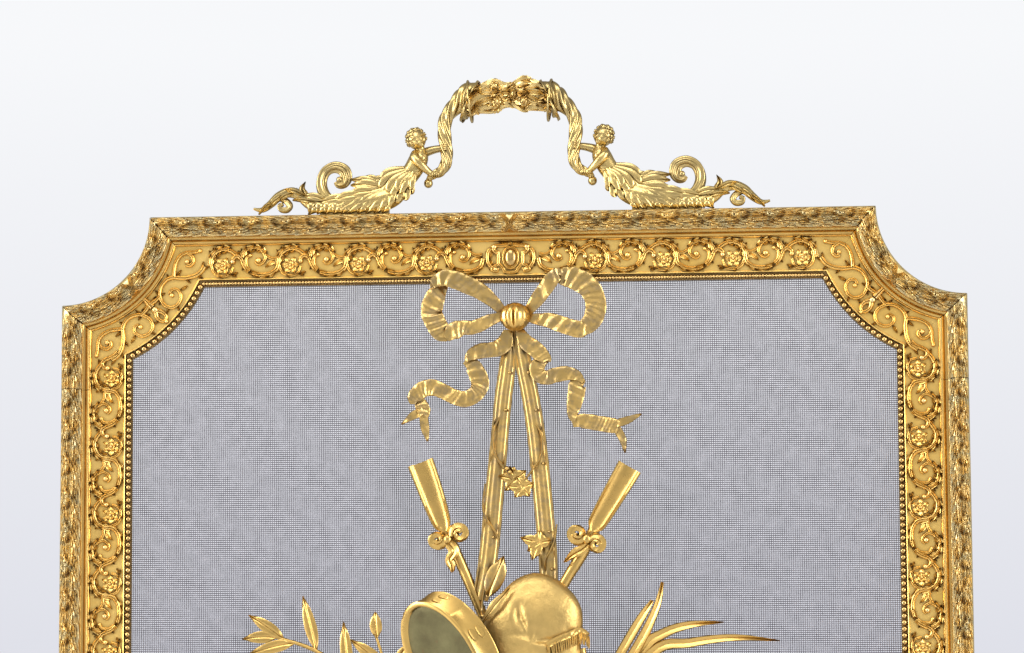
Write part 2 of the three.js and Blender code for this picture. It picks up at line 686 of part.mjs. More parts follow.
// Each foot: a block under the side strip, with a scrolled leg to the front and one to the back.
function foot() {
  const top = floorGap - gap;
  const outline = new THREE.Shape();
  outline.moveTo(-16, top);
  outline.lineTo(-16, 38);
  outline.bezierCurveTo(-34, 34, -40, 24, -58, 17);
  outline.quadraticCurveTo(-78, 11, -90, 15);
  outline.absarc(-footReach + 9.5, 9.5, 9.5, 0.5 * Math.PI, 1.45 * Math.PI, false);
  outline.lineTo(-70, 0);
  outline.bezierCurveTo(-50, 0, -30, 14, 0, 16);
  outline.bezierCurveTo(30, 14, 50, 0, 70, 0);
  outline.lineTo(footReach - 9.5, 0);
  outline.absarc(footReach - 9.5, 9.5, 9.5, 1.55 * Math.PI, 0.5 * Math.PI, false);
  outline.quadraticCurveTo(78, 11, 58, 17);
  outline.bezierCurveTo(40, 24, 34, 34, 16, 38);
  outline.lineTo(16, top);
  outline.closePath();
  const options = { depth: 26, curveSegments: 6, bevelEnabled: false };
  const geometry = new THREE.ExtrudeGeometry(outline, options);
  geometry.rotateX(Math.PI / 2).rotateZ(Math.PI / 2);
  const legs = solid(geometry.translate(footScrew.x - 13, 0, 0));
  const tab = block(footScrew.x - 12, footScrew.x + 12, -tabBack, -tabFront, 40, floorGap + 20);
  return cut(joined(legs, tab), hole(footScrew.x, footScrew.z, -tabBack - 1, 0));
}

function makeFeet() {
  const right = foot();
  piece("foot_right", right, gilt);
  piece("foot_left", mirrored(right), gilt);
}

makeFrame();
makeRetainers();
makeMesh();
makeScrews();
makeHandle();
makeRibbon();
makeTrophy();
makeFeet();

export default part;
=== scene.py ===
import bpy
import bmesh
import math
import random
from mathutils import Matrix, Vector, noise


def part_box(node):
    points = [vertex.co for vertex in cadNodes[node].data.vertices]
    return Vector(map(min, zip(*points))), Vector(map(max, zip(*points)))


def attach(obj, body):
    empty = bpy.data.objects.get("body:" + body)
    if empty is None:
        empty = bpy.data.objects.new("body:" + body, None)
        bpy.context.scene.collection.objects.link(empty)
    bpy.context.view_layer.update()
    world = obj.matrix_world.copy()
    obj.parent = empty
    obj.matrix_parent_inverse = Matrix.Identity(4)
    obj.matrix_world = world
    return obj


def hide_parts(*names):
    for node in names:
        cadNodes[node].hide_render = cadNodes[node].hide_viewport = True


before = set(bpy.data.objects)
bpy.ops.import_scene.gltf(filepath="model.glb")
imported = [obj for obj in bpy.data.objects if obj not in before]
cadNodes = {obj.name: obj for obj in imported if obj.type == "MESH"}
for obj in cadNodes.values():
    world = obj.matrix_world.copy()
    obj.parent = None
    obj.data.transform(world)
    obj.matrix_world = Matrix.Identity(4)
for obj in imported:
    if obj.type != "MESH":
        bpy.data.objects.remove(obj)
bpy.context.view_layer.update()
mm = 0.001
print("frame loaded,", len(cadNodes), "nodes")

# measures taken from the frame
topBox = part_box("laurel_strip_top")
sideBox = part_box("laurel_strip_side_right")
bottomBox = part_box("laurel_strip_bottom")
half = sideBox[1].x  # half the frame's width
frameTop = topBox[1].z
frameBottom = bottomBox[0].z
joint = half - bottomBox[1].x  # clearance at each mitre
scoop = half - topBox[1].x - joint  # radius of the scooped corners
seam = sideBox[1].z  # joint between the upper and lower side lengths
backFace = -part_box("frieze_top")[1].y  # back of the mouldings, in front of the wire


def cornerReach(inset):
    return math.sqrt(scoop * scoop + 2 * scoop * inset)


def cornerEdge(inset):  # angle at which the scoop's mitre cuts this inset
    return math.asin(inset / (scoop + inset))


# Places on the frame's right half: along the run, inset from the outer edge, depth forwards.
def onTop(along, inset, depth):
    return Vector((along, -backFace - depth, frameTop - inset))


def onCorner(turn, inset, depth):
    reach = scoop + inset
    return Vector((half - reach * math.cos(turn), -backFace - depth, frameTop - reach * math.sin(turn)))


def onSide(along, inset, depth):
    return Vector((half - inset, -backFace - depth, frameTop - along))


def onBottom(along, inset, depth):
    return Vector((along, -backFace - depth, frameBottom + inset))


# camera
cameraSetup = {
    "place": (0.1935, -2.5324, 0.3276),
    "turnLeft": 4.367, "tiltUp": 6.46, "roll": -0.289,  # degrees
    "focalLength": 123.05,
}
camData = bpy.data.cameras.new("camera")
camData.lens = cameraSetup["focalLength"]
camData.clip_end = 50
cam = bpy.data.objects.new("camera", camData)
cam.matrix_world = (
    Matrix.Translation(cameraSetup["place"])
    @ Matrix.Rotation(math.radians(cameraSetup["turnLeft"]), 4, "Z")
    @ Matrix.Rotation(math.radians(90 + cameraSetup["tiltUp"]), 4, "X")
    @ Matrix.Rotation(math.radians(cameraSetup["roll"]), 4, "Z")
)
bpy.context.scene.collection.objects.link(cam)
bpy.context.scene.camera = cam
bpy.context.scene.view_settings.view_transform = "Standard"


# frame mouldings, in millimetres
moulding = {
    "coveFrom": 13.3, "friezeFrom": 19.72, "channelFrom": 46.5,
    "torusRadius": 6.9, "torusDepth": 12.2, "coveRadius": 2.6,
    "fieldMiddle": 33.2, "fieldDepth": 6.5, "beadInset": 49.0, "beadDepth": 5.4, "friezeGap": 0.03,
    "waviness": 0.10,  # how far the hand-chased surface wanders
}


# materials
def addNode(tree, kind, **values):
    node = tree.nodes.new(kind)
    for key, value in values.items():
        if hasattr(node, key):
            setattr(node, key, value)
        else:
            node.inputs[key.replace("_", " ")].default_value = value
    return node


def startMaterial(name):
    mat = bpy.data.materials.new(name)
    mat.use_nodes = True
    tree = mat.node_tree
    shader = tree.nodes["Principled BSDF"]
    coords = tree.nodes.new("ShaderNodeTexCoord")
    return mat, tree, shader, coords.outputs["Object"]


def noiseNode(tree, coords, scale, detail=3.0, roughness=0.55, distortion=0.0):
    node = addNode(tree, "ShaderNodeTexNoise", Scale=scale, Detail=detail,
                   Roughness=roughness, Distortion=distortion)
    tree.links.new(coords, node.inputs["Vector"])
    return node.outputs["Fac"]


def rampNode(tree, value, stops):
    node = tree.nodes.new("ShaderNodeValToRGB")
    ramp = node.color_ramp
    while len(ramp.elements) < len(stops):
        ramp.elements.new(0.5)
    for element, (place, colour) in zip(ramp.elements, stops):
        element.position = place
        element.color = (*colour, 1) if len(colour) == 3 else colour
    tree.links.new(value, node.inputs["Fac"])
    return node.outputs["Color"]


def mixNode(tree, factor, first, second, blend="MIX"):
    node = tree.nodes.new("ShaderNodeMix")
    node.data_type = "RGBA"
    node.blend_type = blend
    for socket, value in ((node.inputs["Factor"], factor), (node.inputs["A"], first),
                          (node.inputs["B"], second)):
        if hasattr(value, "is_output"):
            tree.links.new(value, socket)
        else:
            socket.default_value = value if isinstance(value, float) else (*value, 1)
    return node.outputs["Result"]


def bumpNode(tree, height, strength, distance, under=None):
    node = addNode(tree, "ShaderNodeBump", Strength=strength, Distance=distance)
    tree.links.new(height, node.inputs["Height"])
    if under:
        tree.links.new(under, node.inputs["Normal"])
    return node.outputs["Normal"]


def rangeNode(tree, value, low, high):
    node = addNode(tree, "ShaderNodeMapRange", To_Min=low, To_Max=high)
    tree.links.new(value, node.inputs["Value"])
    return node.outputs["Result"]


# Gilt bronze: two tones of gold in soft patches, brown patina and painted shade in the hollows, fine chasing
# marks.
# raised = (depth where it starts, depth where it is full, colour) tarnishes what stands proud.
def giltBronze(name, bright, dull, hollowPatinaAndShade, rough=(0.24, 0.42), matting=0.12, reach=3.0, patinaAndShadeAmount=1.0,
               raised=None,
               chips=0.0, patina=None, shade=(0.2, 0.78)):
    mat, tree, shader, coords = startMaterial(name)
    patches = noiseNode(tree, coords, 34, 4, 0.6)
    tone = rampNode(tree, patches, [(0.36, dull), (0.62, bright)])
    specks = noiseNode(tree, coords, 420, 3, 0.7)
    tone = mixNode(tree, rangeNode(tree, specks, 0.0, 0.35), tone, dull)
    if patina:
        stains = rampNode(tree, noiseNode(tree, coords, 130, 5, 0.7), [(0.46, (0, 0, 0)), (0.60, (1, 1, 1))])
        tone = mixNode(tree, stains, tone, patina)
    if raised:
        split = tree.nodes.new("ShaderNodeSeparateXYZ")
        tree.links.new(coords, split.inputs["Vector"])
        proud = addNode(tree, "ShaderNodeMapRange", From_Min=-raised[0], From_Max=-raised[1])
        tree.links.new(split.outputs["Y"], proud.inputs["Value"])
        blotches = rampNode(tree, noiseNode(tree, coords, 60, 4, 0.7),
                            [(0.4, (0.25,) * 3), (0.6, (1, 1, 1))])
        worn = mixNode(tree, 1.0, proud.outputs["Result"], blotches, "MULTIPLY")
        tone = mixNode(tree, worn, tone, raised[2])
    # painted shade: ambient occlusion blends the hollow colour into creases and recesses, brown patina that
    # also stands in for the shadow falling there
    occlusion = addNode(tree, "ShaderNodeAmbientOcclusion", Distance=reach * mm, samples=6)
    openness = rampNode(tree, occlusion.outputs["AO"], [(shade[0], (0, 0, 0)), (shade[1], (1, 1, 1))])
    finished = mixNode(tree, rangeNode(tree, openness, 1 - patinaAndShadeAmount, 1.0), hollowPatinaAndShade, tone)
    tree.links.new(finished, shader.inputs["Base Color"])
    fine = noiseNode(tree, coords, 900, 4, 0.65)
    broad = noiseNode(tree, coords, 90, 3, 0.5)
    blend = mixNode(tree, 0.5, fine, broad)
    tree.links.new(rangeNode(tree, blend, rough[0] - 0.08, rough[1] + 0.08), shader.inputs["Roughness"])
    shader.inputs["Metallic"].default_value = 1.0
    surface = bumpNode(tree, broad, 0.25, 0.0006)
    if chips:
        surface = bumpNode(tree, noiseNode(tree, coords, 300, 3, 0.6), chips, 0.0012, surface)
    tree.links.new(bumpNode(tree, fine, matting, 0.0003, surface), shader.inputs["Normal"])
    return mat


proudFrom = backFace + moulding["fieldDepth"] * mm
laurelGilt = giltBronze("laurelGilt", (1.0, 0.74, 0.29), (0.80, 0.58, 0.24), (0.34, 0.20, 0.07),
                        rough=(0.34, 0.48), reach=1.6, chips=0.5, patina=(0.60, 0.52, 0.30))
# the cove and bead materials carry darker hollow colours: painted shade for the shadowed cove under the
# torus and the groove round the beads
coveGilt = giltBronze("coveGilt", (0.92, 0.62, 0.20), (0.72, 0.46, 0.14), (0.15, 0.08, 0.025),
                      rough=(0.28, 0.44), reach=3.6, matting=0.3)
friezeGilt = giltBronze("friezeGilt", (1.0, 0.68, 0.22), (0.92, 0.58, 0.15), (0.20, 0.11, 0.035),
                        rough=(0.26, 0.42), matting=0.3, reach=3.0, chips=0.15, shade=(0.3, 0.9),
                        raised=(proudFrom + 2.0 * mm, proudFrom + 3.2 * mm, (0.80, 0.62, 0.30)))
beadGilt = giltBronze("beadGilt", (0.66, 0.43, 0.16), (0.46, 0.30, 0.11), (0.13, 0.065, 0.02),
                      rough=(0.18, 0.32), reach=3.0)
handleGilt = giltBronze("handleGilt", (0.70, 0.51, 0.19), (0.47, 0.35, 0.15), (0.17, 0.10, 0.03),
                        rough=(0.24, 0.4), reach=2.4, chips=0.15)
gripGilt = giltBronze("gripGilt", (0.94, 0.70, 0.28), (0.70, 0.50, 0.20), (0.26, 0.16, 0.06),
                      rough=(0.26, 0.42), reach=2.0)
trophyGilt = giltBronze("trophyGilt", (0.80, 0.51, 0.15), (0.58, 0.38, 0.12), (0.12, 0.055, 0.012),
                        rough=(0.22, 0.38), reach=3.6)
ribbonGilt = giltBronze("ribbonGilt", (0.74, 0.49, 0.16), (0.46, 0.31, 0.11), (0.12, 0.055, 0.015),
                        rough=(0.26, 0.42), reach=3.6, patina=(0.44, 0.31, 0.14))
bagGilt = giltBronze("bagGilt", (0.74, 0.50, 0.17), (0.54, 0.37, 0.13), (0.14, 0.075, 0.02),
                     rough=(0.36, 0.52), reach=3.6, matting=0.35, chips=0.3)
footGilt = giltBronze("footGilt", (0.86, 0.57, 0.17), (0.66, 0.45, 0.14), (0.12, 0.06, 0.015),
                      rough=(0.24, 0.4), reach=4.0)
backBrass = giltBronze("backBrass", (0.42, 0.28, 0.10), (0.27, 0.18, 0.08), (0.05, 0.03, 0.01),
                       rough=(0.38, 0.6), reach=4.0)


def steelMaterial(name, light, dark, rough):
    mat, tree, shader, coords = startMaterial(name)
    patches = noiseNode(tree, coords, 120, 4, 0.6)
    tree.links.new(rampNode(tree, patches, [(0.35, dark), (0.65, light)]), shader.inputs["Base Color"])
    grain = noiseNode(tree, coords, 1500, 3, 0.6)
    tree.links.new(rangeNode(tree, grain, *rough), shader.inputs["Roughness"])
    tree.links.new(bumpNode(tree, grain, 0.2, 0.0002), shader.inputs["Normal"])
    shader.inputs["Metallic"].default_value = 1.0
    return mat


wireSteel = steelMaterial("wireSteel", (0.24, 0.23, 0.26), (0.12, 0.11, 0.13), (0.35, 0.6))
screwSteel = steelMaterial("screwSteel", (0.42, 0.39, 0.34), (0.20, 0.17, 0.13), (0.35, 0.6))


# Skin of the tambourine: olive-brown bronze with blotches and a few dark scuffs.
def skinMaterial():
    mat, tree, shader, coords = startMaterial("tambourineSkin")
    patches = noiseNode(tree, coords, 45, 5, 0.6)
    tone = rampNode(tree, patches, [(0.32, (0.10, 0.085, 0.04)), (0.68, (0.18, 0.16, 0.075))])
    scuffs = rampNode(tree, noiseNode(tree, coords, 160, 4, 0.7), [(0.60, (0, 0, 0)), (0.72, (1, 1, 1))])
    tree.links.new(mixNode(tree, scuffs, tone, (0.16, 0.10, 0.05)), shader.inputs["Base Color"])
    grain = noiseNode(tree, coords, 700, 4, 0.6)
    tree.links.new(rangeNode(tree, grain, 0.34, 0.58), shader.inputs["Roughness"])
    shader.inputs["Metallic"].default_value = 0.85
    tree.links.new(bumpNode(tree, grain, 0.2, 0.0003), shader.inputs["Normal"])
    return mat


skinTone = skinMaterial()
print("materials ready")


# mesh helpers
def newPiece(name, bm, mat, slot, *stoodFor, sharpAngle=50, second=None):
    mesh = bpy.data.meshes.new(name)
    bm.to_mesh(mesh)
    bm.free()
    mesh.shade_smooth()
    mesh.set_sharp_from_angle(angle=math.radians(sharpAngle))
    mesh.materials.append(mat)
    if second:
        mesh.materials.append(second)
    piece = bpy.data.objects.new(name, mesh)
    bpy.context.scene.collection.objects.link(piece)
    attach(piece, "root")
    if stoodFor:
        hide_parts(*stoodFor)
    return piece


def sheetMesh(rows, columns, place, closed=False, capped=False, tint=None):
    # a grid laid out by place(share along, share across); closed joins its two long sides
    bm = bmesh.new()
    bmesh.ops.create_grid(bm, x_segments=rows, y_segments=columns, size=0.5)
    if tint:
        for face in bm.faces:
            face.material_index = tint(face.calc_center_median().y + 0.5)
    for vert in bm.verts:
        along = min(max(vert.co.x + 0.5, 0), 1)
        across = min(max(vert.co.y + 0.5, 0), 1)
        vert.co = place(along, 0 if closed and across > 1 - 0.5 / columns else across)
    if closed:
        bmesh.ops.remove_doubles(bm, verts=bm.verts, dist=1e-7)
    if capped:
        rims = [edge for edge in bm.edges if edge.is_boundary]
        bmesh.ops.holes_fill(bm, edges=rims, sides=0)
        bmesh.ops.triangulate(bm, faces=[face for face in bm.faces if len(face.verts) > 4])
    if closed:
        bmesh.ops.recalc_face_normals(bm, faces=bm.faces)
    return bm


def addTo(bm, other, place=None, flip=False):
    # copies a finished mesh into bm, moving each vertex by place()
    copy = bmesh.new()
    copy.from_mesh(other)
    if place:
        for vert in copy.verts:
            vert.co = place(vert.co)
    if flip:
        bmesh.ops.reverse_faces(copy, faces=copy.faces)
    moved = asMesh(copy)
    bm.from_mesh(moved)
    bpy.data.meshes.remove(moved)


def asMesh(bm, name="unit"):
    mesh = bpy.data.meshes.new(name)
    bm.to_mesh(mesh)
    bm.free()
    return mesh


def mirrorOver(co):
    return Vector((-co.x, co.y, co.z))


def withMirror(bm):
    # adds the left half to a right half
    mesh = asMesh(bm.copy())
    addTo(bm, mesh, mirrorOver, flip=True)
    return bm


def mirroredPiece(name, bm, mat, slot, *stoodFor, **extra):
    # the left-hand twin of a right-hand piece
    twin = bmesh.new()
    addTo(twin, asMesh(bm.copy()), mirrorOver, flip=True)
    return newPiece(name, twin, mat, slot, *stoodFor, **extra)


def arcPoints(centre, radius, start, end, count):
    step = (end - start) / count
    return [(centre[0] + radius * math.cos(math.radians(start + step * i)),
             centre[1] + radius * math.sin(math.radians(start + step * i))) for i in range(count + 1)]


# moulding sections
torusR = moulding["torusRadius"]
torusD = moulding["torusDepth"]

laurelSection = (
    [(0, 0), (0, 4.5), (0, 9)]
    + arcPoints((torusR, torusD), torusR, 180, 0, 20)
    + [(13.4, 9.4)]
    + arcPoints((16.4, 9.4), moulding["coveRadius"], 180, 270, 7)
    + [(17.4, 7.6), (18.0, 9.0), (18.3, 9.3), (19.4, 9.3), (19.7, 9.0), (19.7, 0)]
)
friezeSection = (
    [(19.75, 0), (19.75, 8.2), (20.3, 8.4), (20.8, 8.0), (21.2, 6.5)]
    + [(21.2 + 23.8 * i / 8, 6.5) for i in range(1, 9)]
    + [(45.4, 7.0), (45.9, 7.1), (46.3, 6.8), (46.6, 4.2), (48.5, 3.8), (50.7, 3.9), (51, 3.4), (51, 0)]
)


def sweepSection(section, place, ends, rows, tuck=(0, 0)):
    # a closed section run from ends(inset)[0] to ends(inset)[1], each end stretched by tuck
    count = len(section)

    def lay(along, across):
        inset, depth = section[round(across * count) % count]
        start, finish = ends(inset * mm)
        start, finish = start - tuck[0], finish + tuck[1]
        at = start + (finish - start) * along
        point = place(at, inset * mm, depth * mm)
        if depth > 2:
            sway = noise.noise(point * 70) * moulding["waviness"] * mm
            point.y -= sway
        return point

    def tint(across):  # the cove and the bead channel take materials of their own, darker in the hollows with painted shade
        inset = section[int(across * count)][0]
        return int(moulding["coveFrom"] < inset < moulding["friezeFrom"] or inset > moulding["channelFrom"])

    return sheetMesh(rows, count, lay, closed=True, capped=True, tint=tint)


def topEnds(inset):
    return 0, half - cornerReach(inset) - joint


def cornerEnds(inset):
    edge = cornerEdge(inset) + joint / (scoop + inset)
    return edge, math.pi / 2 - edge


def upperSideEnds(inset):
    return cornerReach(inset) + joint, frameTop - seam - joint


def lowerSideEnds(inset):
    return frameTop - seam, frameTop - frameBottom - inset - joint


def wholeSideEnds(inset):
    return cornerReach(inset) + joint, frameTop - frameBottom - inset - joint


def bottomEnds(inset):
    return 0, half - inset - joint


def weldMiddle(bm):
    # joins the two halves of a strip at the middle of the screen
    inner = [face for face in bm.faces if all(abs(vert.co.x) < 1e-6 for vert in face.verts)]
    bmesh.ops.delete(bm, geom=inner, context="FACES")
    seamVerts = [vert for vert in bm.verts if abs(vert.co.x) < 1e-6]
    bmesh.ops.remove_doubles(bm, verts=seamVerts, dist=1e-6)


# ornament helpers: flat shapes in millimetres, x along, y towards the outer edge, z up
leafRidge = [(-1.06, -0.6), (-0.96, 0.4), (-0.5, 0.02), (0, 0.8), (0.5, 0.02), (0.96, 0.4), (1.06, -0.6)]
flatPlate = [(-1.02, -1), (-1, 0.5), (0, 0.4), (1, 0.5), (1.02, -1)]
bandRidge = [(-1.02, -0.9), (-0.95, 0.1), (-0.7, 0.7), (-0.3, 0.95), (0, 0.62), (0.3, 0.95), (0.7, 0.7),
             (0.95, 0.1), (1.02, -0.9)]


def alongPath(points, share):
    # a place on the smooth line through the given points
    reach = share * (len(points) - 1)
    i = min(int(reach), len(points) - 2)
    t = reach - i
    a, b, c, d = points[max(i - 1, 0)], points[i], points[i + 1], points[min(i + 2, len(points) - 1)]
    return [0.5 * (2 * q + (r - p) * t + (2 * p - 5 * q + 4 * r - s) * t * t + (3 * q - p - 3 * r + s)
                   * t ** 3)
            for p, q, r, s in zip(a, b, c, d)]


def bladeWidth(at, fullness=0.8):
    return max(math.sin(math.pi * at ** fullness), 0.03)


def addBlade(bm, foot, tip, wide, rows=7, bend=0.0, lift=(0.3, 0.9), relief=1.0, curl=0.0,
             ridge=leafRidge, width=bladeWidth):
    # a leaf or strap from foot to tip, bent sideways by bend, its end raised by curl
    columns = len(ridge) - 1
    reach = Vector(tip) - Vector(foot)
    aside = Vector((-reach.y, reach.x)).normalized()
    grid = bmesh.ops.create_grid(bm, x_segments=rows, y_segments=columns, size=0.5)
    for vert in grid["verts"]:
        at = min(max(vert.co.x + 0.5, 0), 1)
        across, height = ridge[round((vert.co.y + 0.5) * columns)]
        flat = Vector(foot) + reach * at + aside * (across * wide * width(at) + bend * math.sin(math.pi
                                                            * at))
        rise = lift[0] + (lift[1] - lift[0]) * at + curl * at ** 3
        vert.co = (flat.x, flat.y, rise + height * relief)


def evenWidth(at):
    return 1.0


def lanceWidth(at):  # broad from the foot, drawn out to a point
    return max((1 - at ** 3.2) * (0.62 + 0.38 * math.sin(math.pi * min(at * 1.25, 1))), 0.03)


def sheath(bm, points, wide, height=0.9, rows=7):
    # leaves that wrap a stem, each from one point of its path past the next
    for foot, tip in zip(points, points[1:]):
        start, end = Vector(foot), Vector(tip)
        addBlade(bm, start, end + (end - start) * 0.35, wide, rows=rows, bend=wide * 0.35,
                 lift=(height * 0.5, height + 0.5), relief=1.2, width=lanceWidth)


def addBead(bm, centre, radius, sides=10, squash=1.0):
    ball = bmesh.ops.create_uvsphere(bm, u_segments=sides, v_segments=max(sides * 2 // 3, 5), radius=radius)
    for vert in ball["verts"]:
        vert.co = Vector((vert.co.x, vert.co.y, vert.co.z * squash)) + Vector(centre)


def addBand(bm, points, root, tip, height, ridge=bandRidge):
    # a grooved strap along a smooth path, its half-width going from root to tip
    columns = len(ridge) - 1
    grid = bmesh.ops.create_grid(bm, x_segments=5 * (len(points) - 1), y_segments=columns, size=0.5)
    for vert in grid["verts"]:
        at = min(max(vert.co.x + 0.5, 0), 1)
        across, rise = ridge[round((vert.co.y + 0.5) * columns)]
        before = Vector(alongPath(points, max(at - 0.01, 0)))
        after = Vector(alongPath(points, min(at + 0.01, 1)))
        run = (after - before).normalized()
        wide = (root + (tip - root) * at) * 1.75
        flat = (before + after) / 2 + Vector((-run.y, run.x)) * across * wide
        vert.co = (flat.x, flat.y, height + rise * wide * 0.95)


def addBands(bm, strokes):
    for points, root, tip, height in strokes:
        addBand(bm, [point[:2] for point in points], root, tip, height)


def meshFromCurve(curve):
    holder = bpy.data.objects.new("holder", curve)
    bpy.context.scene.collection.objects.link(holder)
    bpy.context.view_layer.update()
    mesh = bpy.data.meshes.new_from_object(holder.evaluated_get(bpy.context.evaluated_depsgraph_get()))
    bpy.data.objects.remove(holder)
    return mesh


# laurel leaves on the torus
laurel = {"pitch": 24.6, "nodeArc": 12.0}


def laurelUnit():
    # overlapping leaves in rows round the torus, with berries among them
    bm = bmesh.new()
    pick = random.Random(5)
    for whorl in range(4):
        for lane in range(10):
            side = (lane - 4.5) / 4.5
            foot = (whorl * 6.15 + pick.uniform(-2.4, 2.4), -1.5 + side * 7.0 + pick.uniform(-0.5, 0.5))
            tip = (foot[0] + pick.uniform(8.5, 13.5), foot[1] - 0.3 + side * 0.2 + pick.uniform(-1.5, 1.5))
            rise = pick.uniform(-0.15, 0.2)
            addBlade(bm, foot, tip, pick.uniform(0.8, 1.15), rows=7, bend=pick.uniform(-0.5, 0.5),
                     lift=(rise, rise + pick.uniform(0.2, 0.6)), relief=0.85, width=lanceWidth)
        for k in range(3):
            berry = (whorl * 6.15 + pick.uniform(0, 6), -1.6 + pick.uniform(-6.8, 6.0),
                     pick.uniform(0.2, 0.6))
            addBead(bm, berry, pick.uniform(0.5, 0.9), 6)
    return asMesh(bm)


def bindingUnit():
    # crossed cords that tie the leaves, each of three strands
    bm = bmesh.new()
    for slant in (-1, 1):
        for strand in (-1.3, 0, 1.3):
            addBlade(bm, (strand - 5.2 * slant, 5.6), (strand + 5.2 * slant, -9.5), 0.55, rows=10,
                     lift=(0.5 + 0.2 * slant, 0.5 - 0.2 * slant), relief=0.8, width=evenWidth)
    return asMesh(bm)


def onTorus(run, start, ends, scale=1.0, turned=False):
    # lays flat ornament over the torus, cut off at its ends; turned is for runs measured as an angle
    def place(co):
        arc = (laurel["nodeArc"] - co.y) / torusR
        reach = torusR + co.z
        inset = torusR - reach * math.cos(arc)
        depth = torusD + reach * math.sin(arc)
        along = start + co.x * scale * mm / ((scoop + torusR * mm) if turned else 1)
        low, high = ends(max(inset, 0) * mm)
        return run(min(max(along, low), high), inset * mm, depth * mm)
    return place


def laurelRun(bm, unit, run, ends, start, count, turned=False, flip=False):
    # count units fill the strip from start to its mitre
    radius = scoop + torusR * mm if turned else 1
    pitch = (ends(torusR * mm)[1] - start) * radius / count
    for i in range(count):
        at = start + i * pitch / radius
        addTo(bm, unit, onTorus(run, at, ends, pitch / mm / laurel["pitch"], turned), flip)


# beads and scrollwork on the frieze
beads = {"topPitch": 2.36, "topRadius": 1.5, "sidePitch": 4.64, "sideRadius": 2.3}


def beadRow(bm, run, ends, pitch, radius, turned=False):
    unit = bmesh.new()
    addBead(unit, (0, 0, 0), radius, 8)
    for face in unit.faces:
        face.material_index = 1
    sphere = asMesh(unit)
    inset = moulding["beadInset"] * mm
    start, finish = ends(inset)
    length = (finish - start) * ((scoop + inset) if turned else 1)
    count = int(length / (pitch * mm))
    for i in range(count):
        at = start + (finish - start) * (i + 0.5) / count
        centre = run(at, inset, moulding["beadDepth"] * mm)
        addTo(bm, sphere, lambda co: centre + Vector((co.x, -co.z, co.y)) * mm)


def onField(run, start, outward=1):
    # lays flat ornament on the sunk field; x runs outward from start
    def place(co):
        inset = moulding["fieldMiddle"] - co.y
        depth = moulding["fieldDepth"] + co.z
        return run(start + outward * co.x * mm, inset * mm, depth * mm)
    return place


def fanOfLeaves(bm, root, tips, wide, lift=(0.3, 1.0), rows=5, relief=1.0):
    for tip in tips:
        addBlade(bm, root, tip, wide, rows=rows, lift=lift, relief=relief)


def voluteUnit():
    # spiral with a berry in its eye, with the stem that passes under it
    strokes = [
        ([(12.1, 3.1), (11.3, 6.1), (8.3, 9.0), (2.9, 10.4), (-1.3, 9.0), (-4.0, 5.6), (-4.9, 2.4),
          (-2.9, -0.8), (0.4, -1.9), (2.5, 0.2)], 0.85, 0.65, 0.8),
        ([(-4.0, 5.4), (-5.6, 4.3), (-8.4, 2.4), (-11.3, 2.0), (-14.2, 2.7)], 0.65, 0.8, 0.6),
        ([(7.0, -6.5), (9.0, -3.5), (9.6, 0.5), (8.8, 3.3), (6.6, 4.4)], 0.8, 0.6, 0.8),
        ([(5.0, -8.6), (1.3, -9.6), (-4.2, -9.8), (-9.2, -8.6), (-13.2, -5.6), (-14.6, -0.6)], 0.8, 1.1,
         0.7),
    ]
    bm = bmesh.new()
    addBands(bm, strokes)
    addBead(bm, (0.3, 0.8, 1.1), 2.1)
    addBead(bm, (6.3, 4.5, 1.1), 1.3, 8)
    sheath(bm, [(13.4, 3.2), (10.4, 9.4), (4.4, 11.6), (-1.4, 10.8), (-5.4, 7.4)], 2.3, 1.6)
    sheath(bm, [(11.4, 3.2), (8.0, 7.6), (3.0, 9.0), (-2.0, 7.8)], 1.4, 1.0)
    fanOfLeaves(bm, (-1.5, -9.6), [(8.0, -6.4), (7.8, -8.8), (5.6, -10.6), (2.6, -11.6)], 1.2,
                lift=(1.4, 1.1))
    sheath(bm, [(1.0, -9.6), (-5.4, -10.6), (-11.0, -8.6), (-14.4, -3.4)], 1.8, 1.0)
    addBlade(bm, (-14.2, 0.6), (-4.6, -4.8), 2.0, rows=6, bend=1.4, lift=(0.6, 1.6))
    fanOfLeaves(bm, (12.4, 3.4), [(15.4, 8.6), (13.2, 10.2), (10.8, 9.0)], 0.8)
    fanOfLeaves(bm, (2.6, 10.6), [(-2.0, 11.8), (-4.0, 8.8)], 0.8)
    return asMesh(bm)


